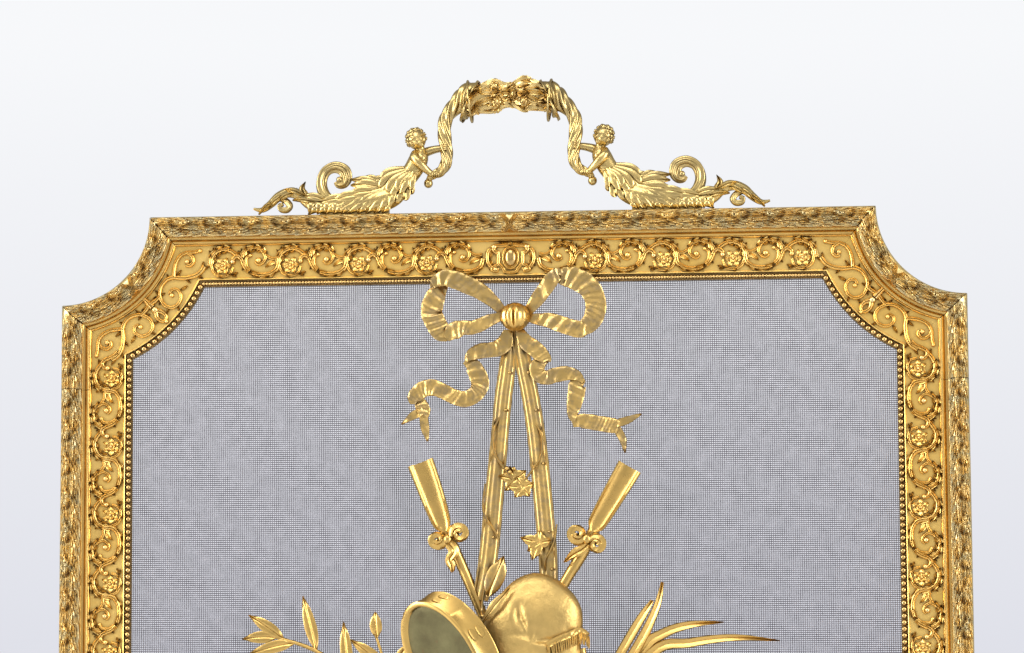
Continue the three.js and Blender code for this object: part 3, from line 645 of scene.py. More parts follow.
def rosetteUnit():
    # flower in a ring, with the stem that passes over it; x is measured from the volute further in
    strokes = [
        ([(35.9, -1.4), (35.2, 2.7), (31.7, 7.4), (25.6, 9.4), (20.9, 8.2), (16.7, 5.2), (13.3, 2.3),
          (12.0, -0.6), (10.2, -4.4), (7.1, -7.5)], 1.0, 0.9, 0.8),
        ([(35.6, -1.4), (33.6, -7.0), (29.6, -10.0), (25.0, -10.5), (21.0, -8.4), (19.4, -3.6)], 0.8, 0.55,
         0.6),
        ([(13.6, 2.6), (15.8, 4.0), (18.6, 2.8), (19.5, 0.2)], 1.0, 0.8, 1.1),
    ]
    bm = bmesh.new()
    addBands(bm, strokes)
    addBead(bm, (19.3, 0.0, 1.3), 1.9)
    sheath(bm, [(37.0, -3.0), (36.2, 3.4), (32.8, 8.6), (27.6, 11.2), (22.0, 10.8)], 2.6, 1.7)
    sheath(bm, [(34.0, -1.0), (32.4, 4.0), (28.4, 7.2), (24.0, 8.2)], 1.5, 1.0)
    sheath(bm, [(22.6, 9.6), (17.4, 6.6), (12.6, 1.4), (9.4, -5.6)], 1.7, 1.1)
    fanOfLeaves(bm, (33.6, 4.2), [(37.2, 8.8), (33.6, 11.2)], 1.2, lift=(0.9, 1.4))
    fanOfLeaves(bm, (31.4, 7.4), [(31.6, 11.8), (27.2, 12.0)], 1.2, lift=(0.9, 1.4))
    fanOfLeaves(bm, (27.4, 9.4), [(23.2, 12.0), (23.0, 8.0)], 1.1, lift=(0.9, 1.3))
    fanOfLeaves(bm, (17.4, 6.0), [(12.4, 6.8), (14.4, 2.0)], 1.0, lift=(0.9, 1.2))
    sheath(bm, [(34.6, -4.0), (29.0, -10.6), (22.0, -9.4)], 0.9)
    addBlade(bm, (19.6, -9.4), (15.4, -7.8), 1.2, rows=4)
    addBlade(bm, (20.4, -9.8), (16.4, -10.6), 0.9, rows=4)
    addBlade(bm, (9.6, -2.4), (12.8, -6.4), 1.0, rows=4)
    flower = (26.9, -2.9)
    for ring, (petals, size, wide) in enumerate(((6, 6.8, 2.6), (5, 3.8, 1.7))):
        for i in range(petals):
            turn = 2 * math.pi * (i + 0.5 * ring) / petals
            tip = (flower[0] + size * math.cos(turn), flower[1] + size * math.sin(turn))
            addBlade(bm, flower, tip, wide, rows=5, lift=(0.5 + 0.9 * ring, 1.2 + 0.9 * ring), relief=0.75)
    addBead(bm, (*flower, 2.1), 1.1, 8)
    return asMesh(bm)


# Corner ornament: (inset from the side edge, drop from the top edge) for the half below the diagonal
def cornerUnit():
    strokes = [
        ([(43.8, 81.8), (45.6, 76.6), (50.6, 72.4), (57.4, 71.4), (63.9, 74.4), (66.4, 79.5), (64.2, 84.9),
          (58.4, 87.2), (53.5, 84.8), (53.0, 80.6), (56.4, 78.4)], 0.9, 0.6, 0.8),
        ([(43.8, 81.8), (44.6, 87), (44.2, 93.5), (41.4, 100.5), (36.2, 104.6)], 0.85, 1.0, 0.8),
        ([(43.8, 81.8), (38.6, 82.0), (33.4, 83.2), (28.2, 86.4), (25.8, 91.4), (25.6, 96.6), (24.6, 100.8)],
         0.9, 0.7, 0.8),
        ([(25.9, 91.0), (28.2, 95.0), (32.4, 96.2), (35.4, 93.6), (34.6, 90.8)], 0.7, 0.9, 0.8),
        ([(58.0, 71.6), (61.2, 68.2), (63.4, 64.8)], 0.8, 1.0, 0.9),
    ]
    bm = bmesh.new()
    addBands(bm, strokes)
    for centre, radius in (((57.2, 80.4, 0.9), 1.7), ((32.6, 91.6, 0.9), 1.9), ((24.6, 101.2, 0.8), 1.5)):
        addBead(bm, centre, radius, 8)
    leaves = [
        ((58, 71.4), (53.2, 67.8), 1.1), ((60, 71.8), (64.6, 71.0), 1.0), ((57.6, 72.0), (55.4, 75.6), 0.9),
        ((53.6, 86.4), (50.2, 92.4), 1.3), ((46, 78), (41.2, 76.6), 1.0), ((43.6, 83.4), (38.4, 87.4), 1.1),
        ((44.6, 90), (48.6, 94.4), 0.9), ((42.4, 98.4), (45.0, 103.6), 1.0), ((38.4, 103.2), (32.4, 103.6),
                                                            1.4),
        ((39.4, 102.4), (35.6, 108.4), 1.2), ((64.4, 84.4), (69.0, 86.0), 0.9), ((66.4, 78.4), (70.6, 76.6),
                                                            0.9),
    ]
    for foot, tip, wide in leaves:
        addBlade(bm, foot, tip, wide, rows=4)
    return asMesh(bm)


def cornerFleuron():
    # bead and husk on the diagonal
    bm = bmesh.new()
    addBead(bm, (68, 68, 1.4), 2.5, 12)
    strokes = [
        ([(59.6, 59.6), (63.0, 63.0), (66.2, 66.2)], 0.9, 1.5, 1.0),
        ([(68.6, 68.6), (73.4, 69.6), (76.2, 73.0), (75.8, 76.4)], 1.2, 0.6, 0.9),
        ([(68.6, 68.6), (69.6, 73.4), (73.0, 76.2), (76.4, 75.8)], 1.2, 0.6, 0.9),
    ]
    addBands(bm, strokes)
    addBead(bm, (76.6, 76.6, 0.9), 1.5, 8)
    fanOfLeaves(bm, (64, 64), [(68.6, 57.6), (57.6, 68.6), (60.4, 58.0), (58.0, 60.4)], 1.2, lift=(0.9, 1.1))
    return asMesh(bm)


def onCornerField(swapped):
    def place(co):
        side, drop = (co.y, co.x) if swapped else (co.x, co.y)
        return onSide(drop * mm, side * mm, (moulding["fieldDepth"] + co.z) * mm)
    return place


# Cartouche at the middle of the top: cabochon in strapwork with husks and a small shell
def cartoucheUnit():
    bm = bmesh.new()
    addBead(bm, (0, 0.2, 0.8), 1.0, 20)
    for face in bm.faces:
        face.material_index = 1
    for vert in bm.verts:
        vert.co = Vector((vert.co.x * 4.6, 0.2 + (vert.co.y - 0.2) * 6.9, 0.8 + (vert.co.z - 0.8) * 3.4))
    addBlade(bm, (-10.5, 0), (10.5, 0), 8.4, rows=4, lift=(0.2, 0.2), relief=0.8, ridge=flatPlate,
             width=evenWidth)
    strokes = []
    rim = [(5.3 * math.sin(a), 0.2 + 7.7 * math.cos(a)) for a in [2 * math.pi * i / 12 for i in range(13)]]
    strokes.append((rim, 0.75, 0.75, 0.9))
    for side in (-1, 1):
        strokes += [
            ([(side * 1.5, 9.4), (side * 6.5, 9.0), (side * 11.4, 8.8), (side * 12.2, 5.4),
              (side * 9.0, 3.6)], 0.8, 1.0, 0.9),
            ([(side * 9.2, 4.4), (side * 8.9, 0.2), (side * 9.2, -4.6), (side * 11.8, -6.2),
              (side * 13.6, -8.4), (side * 10.6, -9.6), (side * 9.4, -7.6)], 0.9, 0.8, 0.9),
            ([(side * 8.6, -4.4), (side * 5.6, -7.6), (side * 4.0, -10.2), (0, -11.0)], 0.8, 0.7, 0.8),
            ([(side * 14.4, 7.0), (side * 16.8, 3.4), (side * 16.8, -2.6), (side * 14.2, -7.2)], 0.8, 0.9,
             0.8),
        ]
    addBands(bm, strokes)
    for side in (-1, 1):
        addBead(bm, (side * 12.0, 8.0, 1.2), 2.0)
        addBead(bm, (side * 11.2, -8.4, 1.1), 1.6)
        addBead(bm, (side * 7.6, 0.2, 0.9), 0.8, 8)
        fanOfLeaves(bm, (side * 15.6, -1.0), [(side * 13.0, 6.4), (side * 15.6, 7.8), (side * 18.2, 5.0)],
                    1.3,
                    lift=(1.0, 1.2))
        fanOfLeaves(bm, (side * 15.4, -1.0), [(side * 12.6, -6.4), (side * 15.4, -9.0), (side * 18.0,
                                                            -6.4)], 1.3,
                    lift=(1.0, 1.2))
        fanOfLeaves(bm, (side * 1.2, 9.0), [(side * 9.0, 12.2), (side * 6.2, 12.4), (side * 3.0, 12.2)], 1.1,
                    lift=(1.0, 1.3))
        addBlade(bm, (side * 2.2, -9.6), (side * 4.6, -11.8), 1.0, rows=4)
    addBlade(bm, (0, 8.4), (0, 12.6), 1.3, rows=5, lift=(1.2, 1.6))
    return asMesh(bm)


print("ornament units drawn")

# frame pieces: mouldings with their ornament
scroll = {"pitch": 50.1, "topEye": 34.9, "sideEye": 91.2, "bottomEye": 35.0, "topCount": 4, "sideCount": 10,
          "bottomCount": 5}
leafMesh = laurelUnit()
tieMesh = bindingUnit()
voluteMesh = voluteUnit()
rosetteMesh = rosetteUnit()

strips = {}
closeUp = joint - moulding["friezeGap"] * mm  # the frieze mitres are chased over, the laurel's stay open
for key, section in (("laurel", laurelSection), ("frieze", friezeSection)):
    tuck = closeUp if key == "frieze" else 0
    strips[key + "Top"] = sweepSection(section, onTop, topEnds, 66, (0, tuck))
    strips[key + "Corner"] = sweepSection(section, onCorner, cornerEnds, 30, (tuck / scoop / 1.6,) * 2)
    strips[key + "Bottom"] = sweepSection(section, onBottom, bottomEnds, 80, (0, tuck))
strips["laurelUpper"] = sweepSection(laurelSection, onSide, upperSideEnds, 14)
strips["laurelSide"] = sweepSection(laurelSection, onSide, lowerSideEnds, 130)
strips["friezeSide"] = sweepSection(friezeSection, onSide, wholeSideEnds, 140, (closeUp, closeUp))
print("mouldings swept")

laurelRun(strips["laurelTop"], leafMesh, onTop, topEnds, 5 * mm, 10)
laurelRun(strips["laurelUpper"], leafMesh, onSide, upperSideEnds, cornerReach(torusR * mm) + 1 * mm, 2)
laurelRun(strips["laurelSide"], leafMesh, onSide, lowerSideEnds, frameTop - seam - 3 * mm, 21)
for key, level, keepAbove in (("laurelUpper", seam + joint, True), ("laurelSide", seam, False)):
    cut = strips[key]
    bmesh.ops.bisect_plane(cut, geom=cut.verts[:] + cut.edges[:] + cut.faces[:], dist=1e-7,
                           plane_co=(0, 0, level), plane_no=(0, 0, 1),
                           clear_inner=keepAbove, clear_outer=not keepAbove)
laurelRun(strips["laurelBottom"], leafMesh, onBottom, bottomEnds, 5 * mm, 12, flip=True)
laurelRun(strips["laurelCorner"], leafMesh, onCorner, cornerEnds,
          math.pi / 4 + 4 * mm / (scoop + torusR * mm), 2,
          turned=True)


def throughDiagonal(co):  # mirror image over the diagonal of the right-hand corner
    side, drop = half - co.x, frameTop - co.z
    return Vector((half - drop, co.y, frameTop - side))


cornerLeaves = bmesh.new()
laurelRun(cornerLeaves, leafMesh, onCorner, cornerEnds, math.pi / 4 + 4 * mm / (scoop + torusR * mm), 2,
          turned=True)
addTo(strips["laurelCorner"], asMesh(cornerLeaves), throughDiagonal, flip=True)
addTo(strips["laurelCorner"], tieMesh, onTorus(onCorner, math.pi / 4, cornerEnds, 1.0, True))

for i in range(scroll["topCount"]):
    at = (scroll["topEye"] + i * scroll["pitch"]) * mm
    addTo(strips["friezeTop"], voluteMesh, onField(onTop, at))
    addTo(strips["friezeTop"], rosetteMesh, onField(onTop, at))
addTo(strips["friezeSide"], rosetteMesh, onField(onSide, scroll["sideEye"] * mm))
for i in range(1, scroll["sideCount"] + 1):
    at = (scroll["sideEye"] + i * scroll["pitch"]) * mm
    addTo(strips["friezeSide"], voluteMesh, onField(onSide, at))
    if i < scroll["sideCount"]:
        addTo(strips["friezeSide"], rosetteMesh, onField(onSide, at))
for i in range(scroll["bottomCount"]):
    at = (scroll["bottomEye"] + i * scroll["pitch"]) * mm
    addTo(strips["friezeBottom"], voluteMesh, onField(onBottom, at), flip=True)
    addTo(strips["friezeBottom"], rosetteMesh, onField(onBottom, at), flip=True)
beadRow(strips["friezeTop"], onTop, topEnds, beads["topPitch"], beads["topRadius"])
beadRow(strips["friezeCorner"], onCorner, cornerEnds, beads["sidePitch"], beads["sideRadius"], turned=True)
beadRow(strips["friezeSide"], onSide, wholeSideEnds, beads["sidePitch"], beads["sideRadius"])
beadRow(strips["friezeBottom"], onBottom, bottomEnds, beads["sidePitch"], beads["sideRadius"])
cornerMesh = cornerUnit()
addTo(strips["friezeCorner"], cornerMesh, onCornerField(False))
addTo(strips["friezeCorner"], cornerMesh, onCornerField(True), flip=True)
addTo(strips["friezeCorner"], cornerFleuron(), onCornerField(False))

for key in ("laurel", "frieze"):
    mat = laurelGilt if key == "laurel" else friezeGilt
    extra = {"sharpAngle": 38, "second": beadGilt if key == "frieze" else coveGilt}
    cad = "laurel_strip" if key == "laurel" else "frieze"
    slot = key + "_gilt"
    for run in ("Top", "Bottom"):
        bm = withMirror(strips[key + run])
        weldMiddle(bm)
        if key == "laurel":
            whole = lambda inset: (-half, half)
            addTo(bm, tieMesh, onTorus(onTop if run == "Top" else onBottom, 0, whole), flip=run == "Bottom")
        else:
            centrepiece = cartoucheUnit()
            addTo(bm, centrepiece, onField(onTop if run == "Top" else onBottom, 0), flip=run == "Bottom")
        newPiece(key + "Moulding" + run, bm, mat, slot, cad + "_" + run.lower(), **extra)
    sides = [("Corner", "corner")]
    sides += [("Upper", "upper_side"), ("Side", "side")] if key == "laurel" else [("Side", "side")]
    for run, node in sides:
        bm = strips[key + run]
        mirroredPiece(key + "Moulding" + run + "Left", bm, mat, slot, cad + "_" + node + "_left", **extra)
        newPiece(key + "Moulding" + run + "Right", bm, mat, slot, cad + "_" + node + "_right", **extra)
print("frame mouldings and ornament placed")

# wire mesh
wireCloth = {"pitchX": 1.571, "pitchZ": 1.486, "thickness": 0.54, "inset": 40, "sway": 0.05, "points": 7}


def clothReach(height):  # half-width of the wire cloth at a height
    inset = wireCloth["inset"] * mm
    limit = half - inset
    drop = frameTop - height
    radius = scoop + inset
    if drop < radius:
        limit = min(limit, half - math.sqrt(max(radius * radius - drop * drop, 0)))
    return limit


def clothTop(x):
    inset = wireCloth["inset"] * mm
    limit = frameTop - inset
    off = half - abs(x)
    radius = scoop + inset
    if off < radius:
        limit = min(limit, frameTop - math.sqrt(max(radius * radius - off * off, 0)))
    return limit


def wireCurve(name):
    curve = bpy.data.curves.new(name, "CURVE")
    curve.dimensions = "3D"
    curve.bevel_depth = wireCloth["thickness"] / 2 * mm
    curve.bevel_resolution = 0
    curve.use_fill_caps = True
    return curve


def addWire(curve, points):
    spline = curve.splines.new("POLY")
    spline.points.add(len(points) - 1)
    for knot, point in zip(spline.points, points):
        knot.co = (*point, 1)


def weaveCloth():
    bm = bmesh.new()
    pitchX, pitchZ = wireCloth["pitchX"] * mm, wireCloth["pitchZ"] * mm
    offset = wireCloth["thickness"] / 2 * mm
    low = frameBottom + wireCloth["inset"] * mm
    sway = wireCloth["sway"] * mm
    count = wireCloth["points"]
    uprights = wireCurve("uprights")
    columns = int(2 * (half - wireCloth["inset"] * mm) / pitchX)
    for i in range(columns):
        x = (i - (columns - 1) / 2) * pitchX
        high = clothTop(x)
        points = []
        for k in range(count + 1):
            z = low + (high - low) * k / count
            drift = noise.noise(Vector((x * 30, z * 6, 1))) * sway * 2.5 + noise.noise(Vector((x * 900,
                                                            z * 9, 2))) * sway
            points.append((x + drift, -offset, z))
        addWire(uprights, points)
    crosswires = wireCurve("crosswires")
    rows = int((frameTop - wireCloth["inset"] * mm - low) / pitchZ)
    for i in range(rows):
        z = low + i * pitchZ
        reach = clothReach(z)
        points = []
        for k in range(count + 1):
            x = -reach + 2 * reach * k / count
            drift = noise.noise(Vector((x * 6, z * 30, 3))) * sway * 2.5 + noise.noise(Vector((x * 9,
                                                            z * 900, 4))) * sway
            points.append((x, offset, z + drift))
        addWire(crosswires, points)
    addTo(bm, meshFromCurve(uprights))
    addTo(bm, meshFromCurve(crosswires))
    return bm


newPiece("wireCloth", weaveCloth(), wireSteel, "mesh_wire", "wire_mesh")
print("wire cloth woven")

# bent pieces: ribbons, limbs and leaves that follow smooth paths of (x, z, depth, size)
def fromFront(x, z, depth):
    return Vector((x * mm, -depth * mm, z * mm))


def bentPlace(path, along):
    here = alongPath(path, along)
    before = alongPath(path, max(along - 0.01, 0))
    after = alongPath(path, min(along + 0.01, 1))
    run = (fromFront(*after[:3]) - fromFront(*before[:3])).normalized()
    side = run.cross(Vector((0, -1, 0))).normalized()
    return here, fromFront(*here[:3]), side, side.cross(run)


def addSheet(bm, rows, columns, lay, closed=True, capped=True):
    sheet = asMesh(sheetMesh(rows, columns, lay, closed=closed, capped=capped))
    addTo(bm, sheet)
    bpy.data.meshes.remove(sheet)


def addTube(bm, path, rows=20, sides=10, flutes=0, fluteDepth=0.1, twist=0.0, flat=1.0,
            capped=True, fade=0.0):
    # a round bar whose size is its radius, with twisted flutes if asked
    def lay(along, across):
        here, centre, side, front = bentPlace(path, along)
        angle = 2 * math.pi * across
        radius = here[3] * mm
        if flutes:
            deep = fluteDepth * min(along / fade, 1) if fade else fluteDepth
            radius *= 1 + deep * math.cos(flutes * angle + twist * along)
        return centre + (side * math.cos(angle) + front * math.sin(angle) * flat) * radius
    addSheet(bm, rows, sides, lay, capped=capped)


ribbonCross = [(-1, 0), (-0.9, 0.6), (-0.45, 0.25), (0, 0.12), (0.45, 0.25), (0.9, 0.6), (1, 0),
               (0.85, -0.55), (0, -0.6), (-0.85, -0.55)]
leafCross = [(-1, 0), (-0.55, 0.7), (-0.08, 0.3), (0, 0), (0.08, 0.3), (0.55, 0.7), (1, 0), (0.5, -0.4),
             (-0.5, -0.4)]
strapCross = [(-1, -0.3), (-0.97, 0.9), (-0.78, 1.0), (-0.66, 0.35), (-0.4, 0.3), (-0.25, 0.75), (0, 0.95),
              (0.25, 0.75), (0.4, 0.3), (0.66, 0.35), (0.78, 1.0), (0.97, 0.9), (1, -0.3), (0.9,
                                                            -0.9), (-0.9, -0.9)]
scoopCross = [(-1, 0), (-0.96, 1.0), (-0.84, 0.9), (-0.76, -0.1), (-0.5, -1.7), (0, -2.5), (0.5, -1.7),
              (0.76, -0.1),
              (0.84, 0.9), (0.96, 1.0), (1, 0), (0.88, -2.0), (0.5, -3.6), (0, -4.2), (-0.5, -3.6), (-0.88,
                                                            -2.0)]


def addRibbon(bm, path, rows=24, cross=ribbonCross, thick=1.0, pleats=0, pleatDepth=0.55):
    # a band whose size is its width; a fifth value in the path scales its cross-section's relief
    count = len(cross)

    def lay(along, across):
        here, centre, side, front = bentPlace(path, along)
        u, height = cross[round(across * count) % count]
        relief = thick * (here[4] if len(here) > 4 else 1)
        fold = 0
        if pleats:
            phase = 0.62 * pleats * along + 0.3 * u + 0.8 * noise.noise(centre * 55)
            swell = 0.5 + 1.6 * abs(noise.noise(centre * 70 + Vector((3, 5, 7))))
            fold = (math.cos(2 * math.pi * phase) * swell + 0.22 * math.cos(6 * math.pi
                                                            * phase)) * pleatDepth
        return centre + (side * (u * here[3] / 2) + front * (height * relief + fold)) * mm
    addSheet(bm, rows, count, lay)


def addKnob(bm, centre, size, rings=12, shape=None):
    # an egg-shaped lump of size (across, up, forward); shape scales it by direction
    def lay(along, across):
        polar = math.pi * along
        turn = 2 * math.pi * across
        towards = Vector((math.sin(polar) * math.sin(turn), -math.sin(polar) * math.cos(turn),
                          math.cos(polar)))
        reach = shape(towards) if shape else 1
        return fromFront(*centre) + Vector((towards.x * size[0], towards.y * size[2],
                                            towards.z * size[1])) * reach * mm
    addSheet(bm, rings, rings * 3 // 2, lay, capped=False)


# ribbon bow
bow = {"pleatDepth": 0.6, "thickness": 1.0}
loopParts = {
    "left": [
        ([(-46.8, 644.4, 17, 5), (-52.1, 638.8, 18.5, 13), (-55.5, 632, 19, 15.5), (-56.9, 623.8, 19, 15.5),
          (-53.5, 615.6, 19, 15), (-49.5, 609.5, 18, 14), (-44.1, 606, 18, 7)], 12),
        ([(-46.1, 604.6, 19, 5), (-41.1, 609.7, 21, 13), (-34.3, 612.4, 20.5, 11), (-27.6, 612.4, 20, 10),
          (-21.6, 614.5, 19, 10), (-14.9, 617.9, 17.5, 9), (-5.3, 621.5, 15, 6)], 8),
        ([(-2.9, 621.7, 14, 6), (-11.5, 630.9, 17, 9), (-21.4, 638.9, 20, 12), (-30.7, 643.5, 22, 13),
          (-38.7, 646.8, 24, 13), (-46.9, 648.7, 23.5, 12), (-53.8, 645.9, 22, 9), (-56.7, 642.1, 20,
                                                            3)], 11),
    ],
    "right": [
        ([(31.5, 648.4, 19, 4), (38.4, 648.7, 21.5, 13), (47.3, 647, 23, 16), (56.7, 641.4, 23, 16),
          (61.6, 633.3, 22, 15), (62.5, 624.6, 21, 15), (59.7, 616.6, 20, 14), (53.6, 610.6, 20, 11),
          (50.2, 607.3, 19.5, 4)], 15),
        ([(58.2, 610.7, 18.5, 4), (52.2, 609.9, 21, 12), (44.8, 611.4, 21, 12), (36.7, 614.3, 20, 12),
          (28.5, 617.3, 18, 11), (21.6, 618.3, 16, 9), (12.7, 620, 14, 6)], 10),
        ([(10.7, 621.8, 14, 6), (19, 631.8, 17, 10), (25.4, 639.5, 20, 11), (31, 646.7, 23, 11),
          (35.8, 650.6, 23.5, 9), (37, 649.5, 21, 3)], 7),
    ],
}
for hand, parts in loopParts.items():
    bm = bmesh.new()
    for path, pleats in parts:
        addRibbon(bm, path, rows=pleats * 6, pleats=pleats, pleatDepth=bow["pleatDepth"],
                  thick=bow["thickness"])
    newPiece("bowLoop" + hand.title(), bm, ribbonGilt, "trophy_gilt", "bow_loop_" + hand, sharpAngle=60)

tailParts = {
    "left": [
        ([(-34.2, 589.2, 8, 4), (-28.7, 586.4, 8.5, 11), (-24.6, 579.5, 9, 13), (-22.6, 572, 9, 13),
          (-26, 565.2, 9, 12), (-33.5, 561.6, 9, 12), (-41.7, 563.4, 9, 11), (-49.8, 567.5, 9, 11),
          (-58, 570.4, 9, 12), (-65.5, 568.4, 9, 12), (-71, 563, 9, 10), (-71.7, 558.3, 8.5, 4)], 22),
        ([(-2, 611, 9, 7), (-4.8, 602.3, 9.5, 12), (-9.5, 598.3, 10, 12), (-15.6, 597, 10.5, 11),
          (-22.4, 596.4, 10.5, 11), (-28.6, 593.8, 10, 9), (-33.4, 589.8, 9, 3)], 9),
        ([(-71.5, 563.5, 7.5, 5), (-67, 559.7, 8, 9), (-64.3, 554.2, 8.4, 10), (-64, 548.7, 8.4, 8)], 4),
        ([(-64.3, 553.5, 8, 6), (-71.8, 549.9, 8.4, 6), (-80.2, 543.8, 8, 1.2)], 3),
        ([(-64.5, 551.8, 8, 6), (-62.9, 540.6, 8.4, 6.5), (-61.2, 531, 8, 1.2)], 4),
    ],
    "right": [
        ([(27.7, 589.8, 8, 3), (22.9, 588.5, 8.5, 9), (18.9, 584.4, 9, 11), (20.2, 578.9, 9, 11),
          (25.6, 576.1, 9, 10),
          (31.8, 578.1, 9.3, 11), (39.9, 579.3, 9.6, 10.5), (47.4, 577.8, 9.6, 8), (52.7, 573.1, 9, 3)], 12),
        ([(6.1, 611, 9, 7), (10.9, 602.8, 9.5, 11), (17, 597.9, 10.5, 12), (22.4, 593.1, 10.5, 11),
          (26.4, 589.7, 9.5, 7), (27, 587.7, 9, 3)], 7),
        ([(53.3, 574.5, 8, 3), (48.6, 571.8, 8.5, 12), (47.2, 564.3, 9, 12.5), (45.8, 556.9, 9, 11),
          (44.4, 550.1, 8.8, 8), (45, 544.7, 8.5, 4)], 9),
        ([(44.3, 542.7, 8.2, 6), (49.8, 544.7, 8.6, 10), (57.2, 543.9, 9, 11), (65.3, 542.4, 9, 11),
          (73.4, 541, 8.8, 11), (78.1, 539.6, 8.6, 9)], 9),
        ([(76.2, 542.4, 8.5, 6), (85, 545.2, 8.6, 5.5), (94.4, 549.4, 8, 1.2)], 3),
        ([(76.2, 539.4, 8.5, 6), (80.6, 531, 8.6, 5.5), (82.3, 521.2, 8, 1.2)], 3),
    ],
}
for hand, parts in tailParts.items():
    bm = bmesh.new()
    for path, pleats in parts:
        addRibbon(bm, path, rows=pleats * 6, pleats=pleats, pleatDepth=0.5)
    newPiece("ribbonTail" + hand.title(), bm, ribbonGilt, "trophy_gilt", "ribbon_tail_" + hand,
             sharpAngle=60)


def knotShape(towards):  # bean-shaped folds gathered top and bottom
    around = math.degrees(math.atan2(towards.x, -towards.y))
    waist = math.sqrt(max(1 - towards.z ** 2, 0))
    grooves = ((-44, 0.12, 7), (-5, 0.30, 6), (30, 0.09, 5))
    slot = 1 - abs(towards.z) ** 3
    return 1 - waist * slot * sum(cut * math.exp(-((around - at) / wide) ** 2) for at, cut, wide in grooves)


bm = bmesh.new()
addKnob(bm, (3.6, 620.5, 16), (11, 10.4, 10), rings=36, shape=knotShape)
newPiece("bowKnot", bm, trophyGilt, "trophy_gilt", "bow_knot", sharpAngle=60)

# straps with a twining vine
strapPaths = {
    "left": [(-0.2, 612, 6, 9), (-1.2, 600, 6.2, 11), (-3.2, 582.6, 6, 12.5), (-6.2, 560.8, 6.2, 13),
             (-9, 531.7, 6, 13),
             (-13.2, 488.1, 6.2, 14), (-17.7, 444.7, 6, 14), (-23.6, 415.9, 6, 12)],
    "right": [(4.9, 612, 6.4, 9), (6.6, 600, 6.6, 11), (9.9, 582.5, 6.4, 12.5), (14.2, 560.5, 6.6, 13),
              (18.3, 531.4, 6.4, 13.5), (22.5, 487.7, 6.6, 14), (25.5, 451.5, 6.4, 14), (26.5, 429, 6.4,
                                                            13)],
}
vines = {
    "left": [
        [(-9, 548, 7, 0.8), (-13.6, 536, 8.6, 0.8), (-12.2, 521.2, 9, 0.9), (-4.8, 510.1, 9.4, 1.0),
         (0, 503, 9.2, 0.8)],
        [(-19.5, 500, 7, 0.6), (-21.2, 483, 8.4, 0.8), (-17.5, 472.6, 9, 0.9), (-10.9, 463, 9, 0.8),
         (-9.8, 455, 7, 0.5)],
        [(-12.6, 440, 8, 0.6), (-20, 424, 9, 0.8), (-22, 408, 10, 0.9), (-20.2, 403.3, 22, 0.9)],
    ],
    "right": [
        [(16, 546, 7, 0.5), (22, 534, 9, 0.8), (21.5, 520, 9.2, 0.8), (14, 508, 9.4, 0.8),
         (8, 500, 9.2, 0.7)],
        [(32.4, 470, 7.4, 0.6), (31, 459, 9, 0.9), (27.6, 451, 9.4, 0.9), (23.6, 443.6, 9, 0.8),
         (24, 436, 7, 0.5)],
    ],
}
for hand, path in strapPaths.items():
    bm = bmesh.new()
    addRibbon(bm, path, rows=70, cross=strapCross, thick=1.5)
    for stem in vines[hand]:
        addTube(bm, stem, rows=16, sides=6)
    for share in (0.14, 0.3, 0.47, 0.63, 0.8, 0.93):
        x, z, depth, width = alongPath(path, share)
        addKnob(bm, (x + width * 0.2 * math.cos(share * 40), z, depth + 1.2), (1.1, 1.1, 1.0), rings=6)
    if hand == "left":  # a broad leaf and a pin where the strap meets the bag
        addRibbon(bm, [(-17.4, 418.9, 11, 4), (-14.4, 426, 12.5, 12), (-10.2, 436, 13, 13),
                       (-5.7, 447.3, 11, 1)],
                  rows=14, cross=leafCross, thick=1.8)
        addKnob(bm, (-20.2, 403.3, 22.4), (2.0, 2.0, 1.6), rings=8)
    newPiece("strap" + hand.title(), bm, ribbonGilt, "trophy_gilt", "strap_" + hand)

bm = bmesh.new()
ivyLeaves = [
    ((3, 503), [(-9.0, 505.5), (-1.6, 512), (10.4, 509), (15, 497), (-5, 494.6)], 8.0),
    ((8, 497), [(2, 489.6), (13, 490.4), (15.6, 500), (3.4, 505), (-3.4, 498)], 8.6),
    ((19.6, 456.6), [(6, 460.6), (14.3, 444.4), (20.3, 465.4), (28.4, 458.4), (11.1, 450.8)], 9.4),
]
for heart, tips, depth in ivyLeaves:
    for x, z in tips:
        middle = ((heart[0] + x) / 2, (heart[1] + z) / 2)
        addRibbon(bm, [(*heart, depth, 6.5), (*middle, depth + 0.9, 8), (x, z, depth - 0.2, 0.8)],
                  rows=8, cross=leafCross, thick=1.3)
for x, z in ((-1, 508), (1.6, 510.4), (-3.2, 510.6)):
    addKnob(bm, (x, z, 10), (1.5, 1.5, 1.5), rings=8)
newPiece("ivySprig", bm, trophyGilt, "trophy_gilt", "ivy_sprig")
print("bow, tails and straps shaped")


# shepherds' crooks
def coilPath(centre, depth, radius, size, turns, start, handed=1):
    path = []
    for i in range(int(turns * 8) + 1):
        share = i / (turns * 8)
        angle = math.radians(start) + handed * i * math.pi / 4
        reach = radius * (1 - 0.72 * share)
        path.append((centre[0] + reach * math.cos(angle), centre[1] + reach * math.sin(angle),
                     depth + 1.4 * share, size * (1 - 0.35 * share)))
    return path


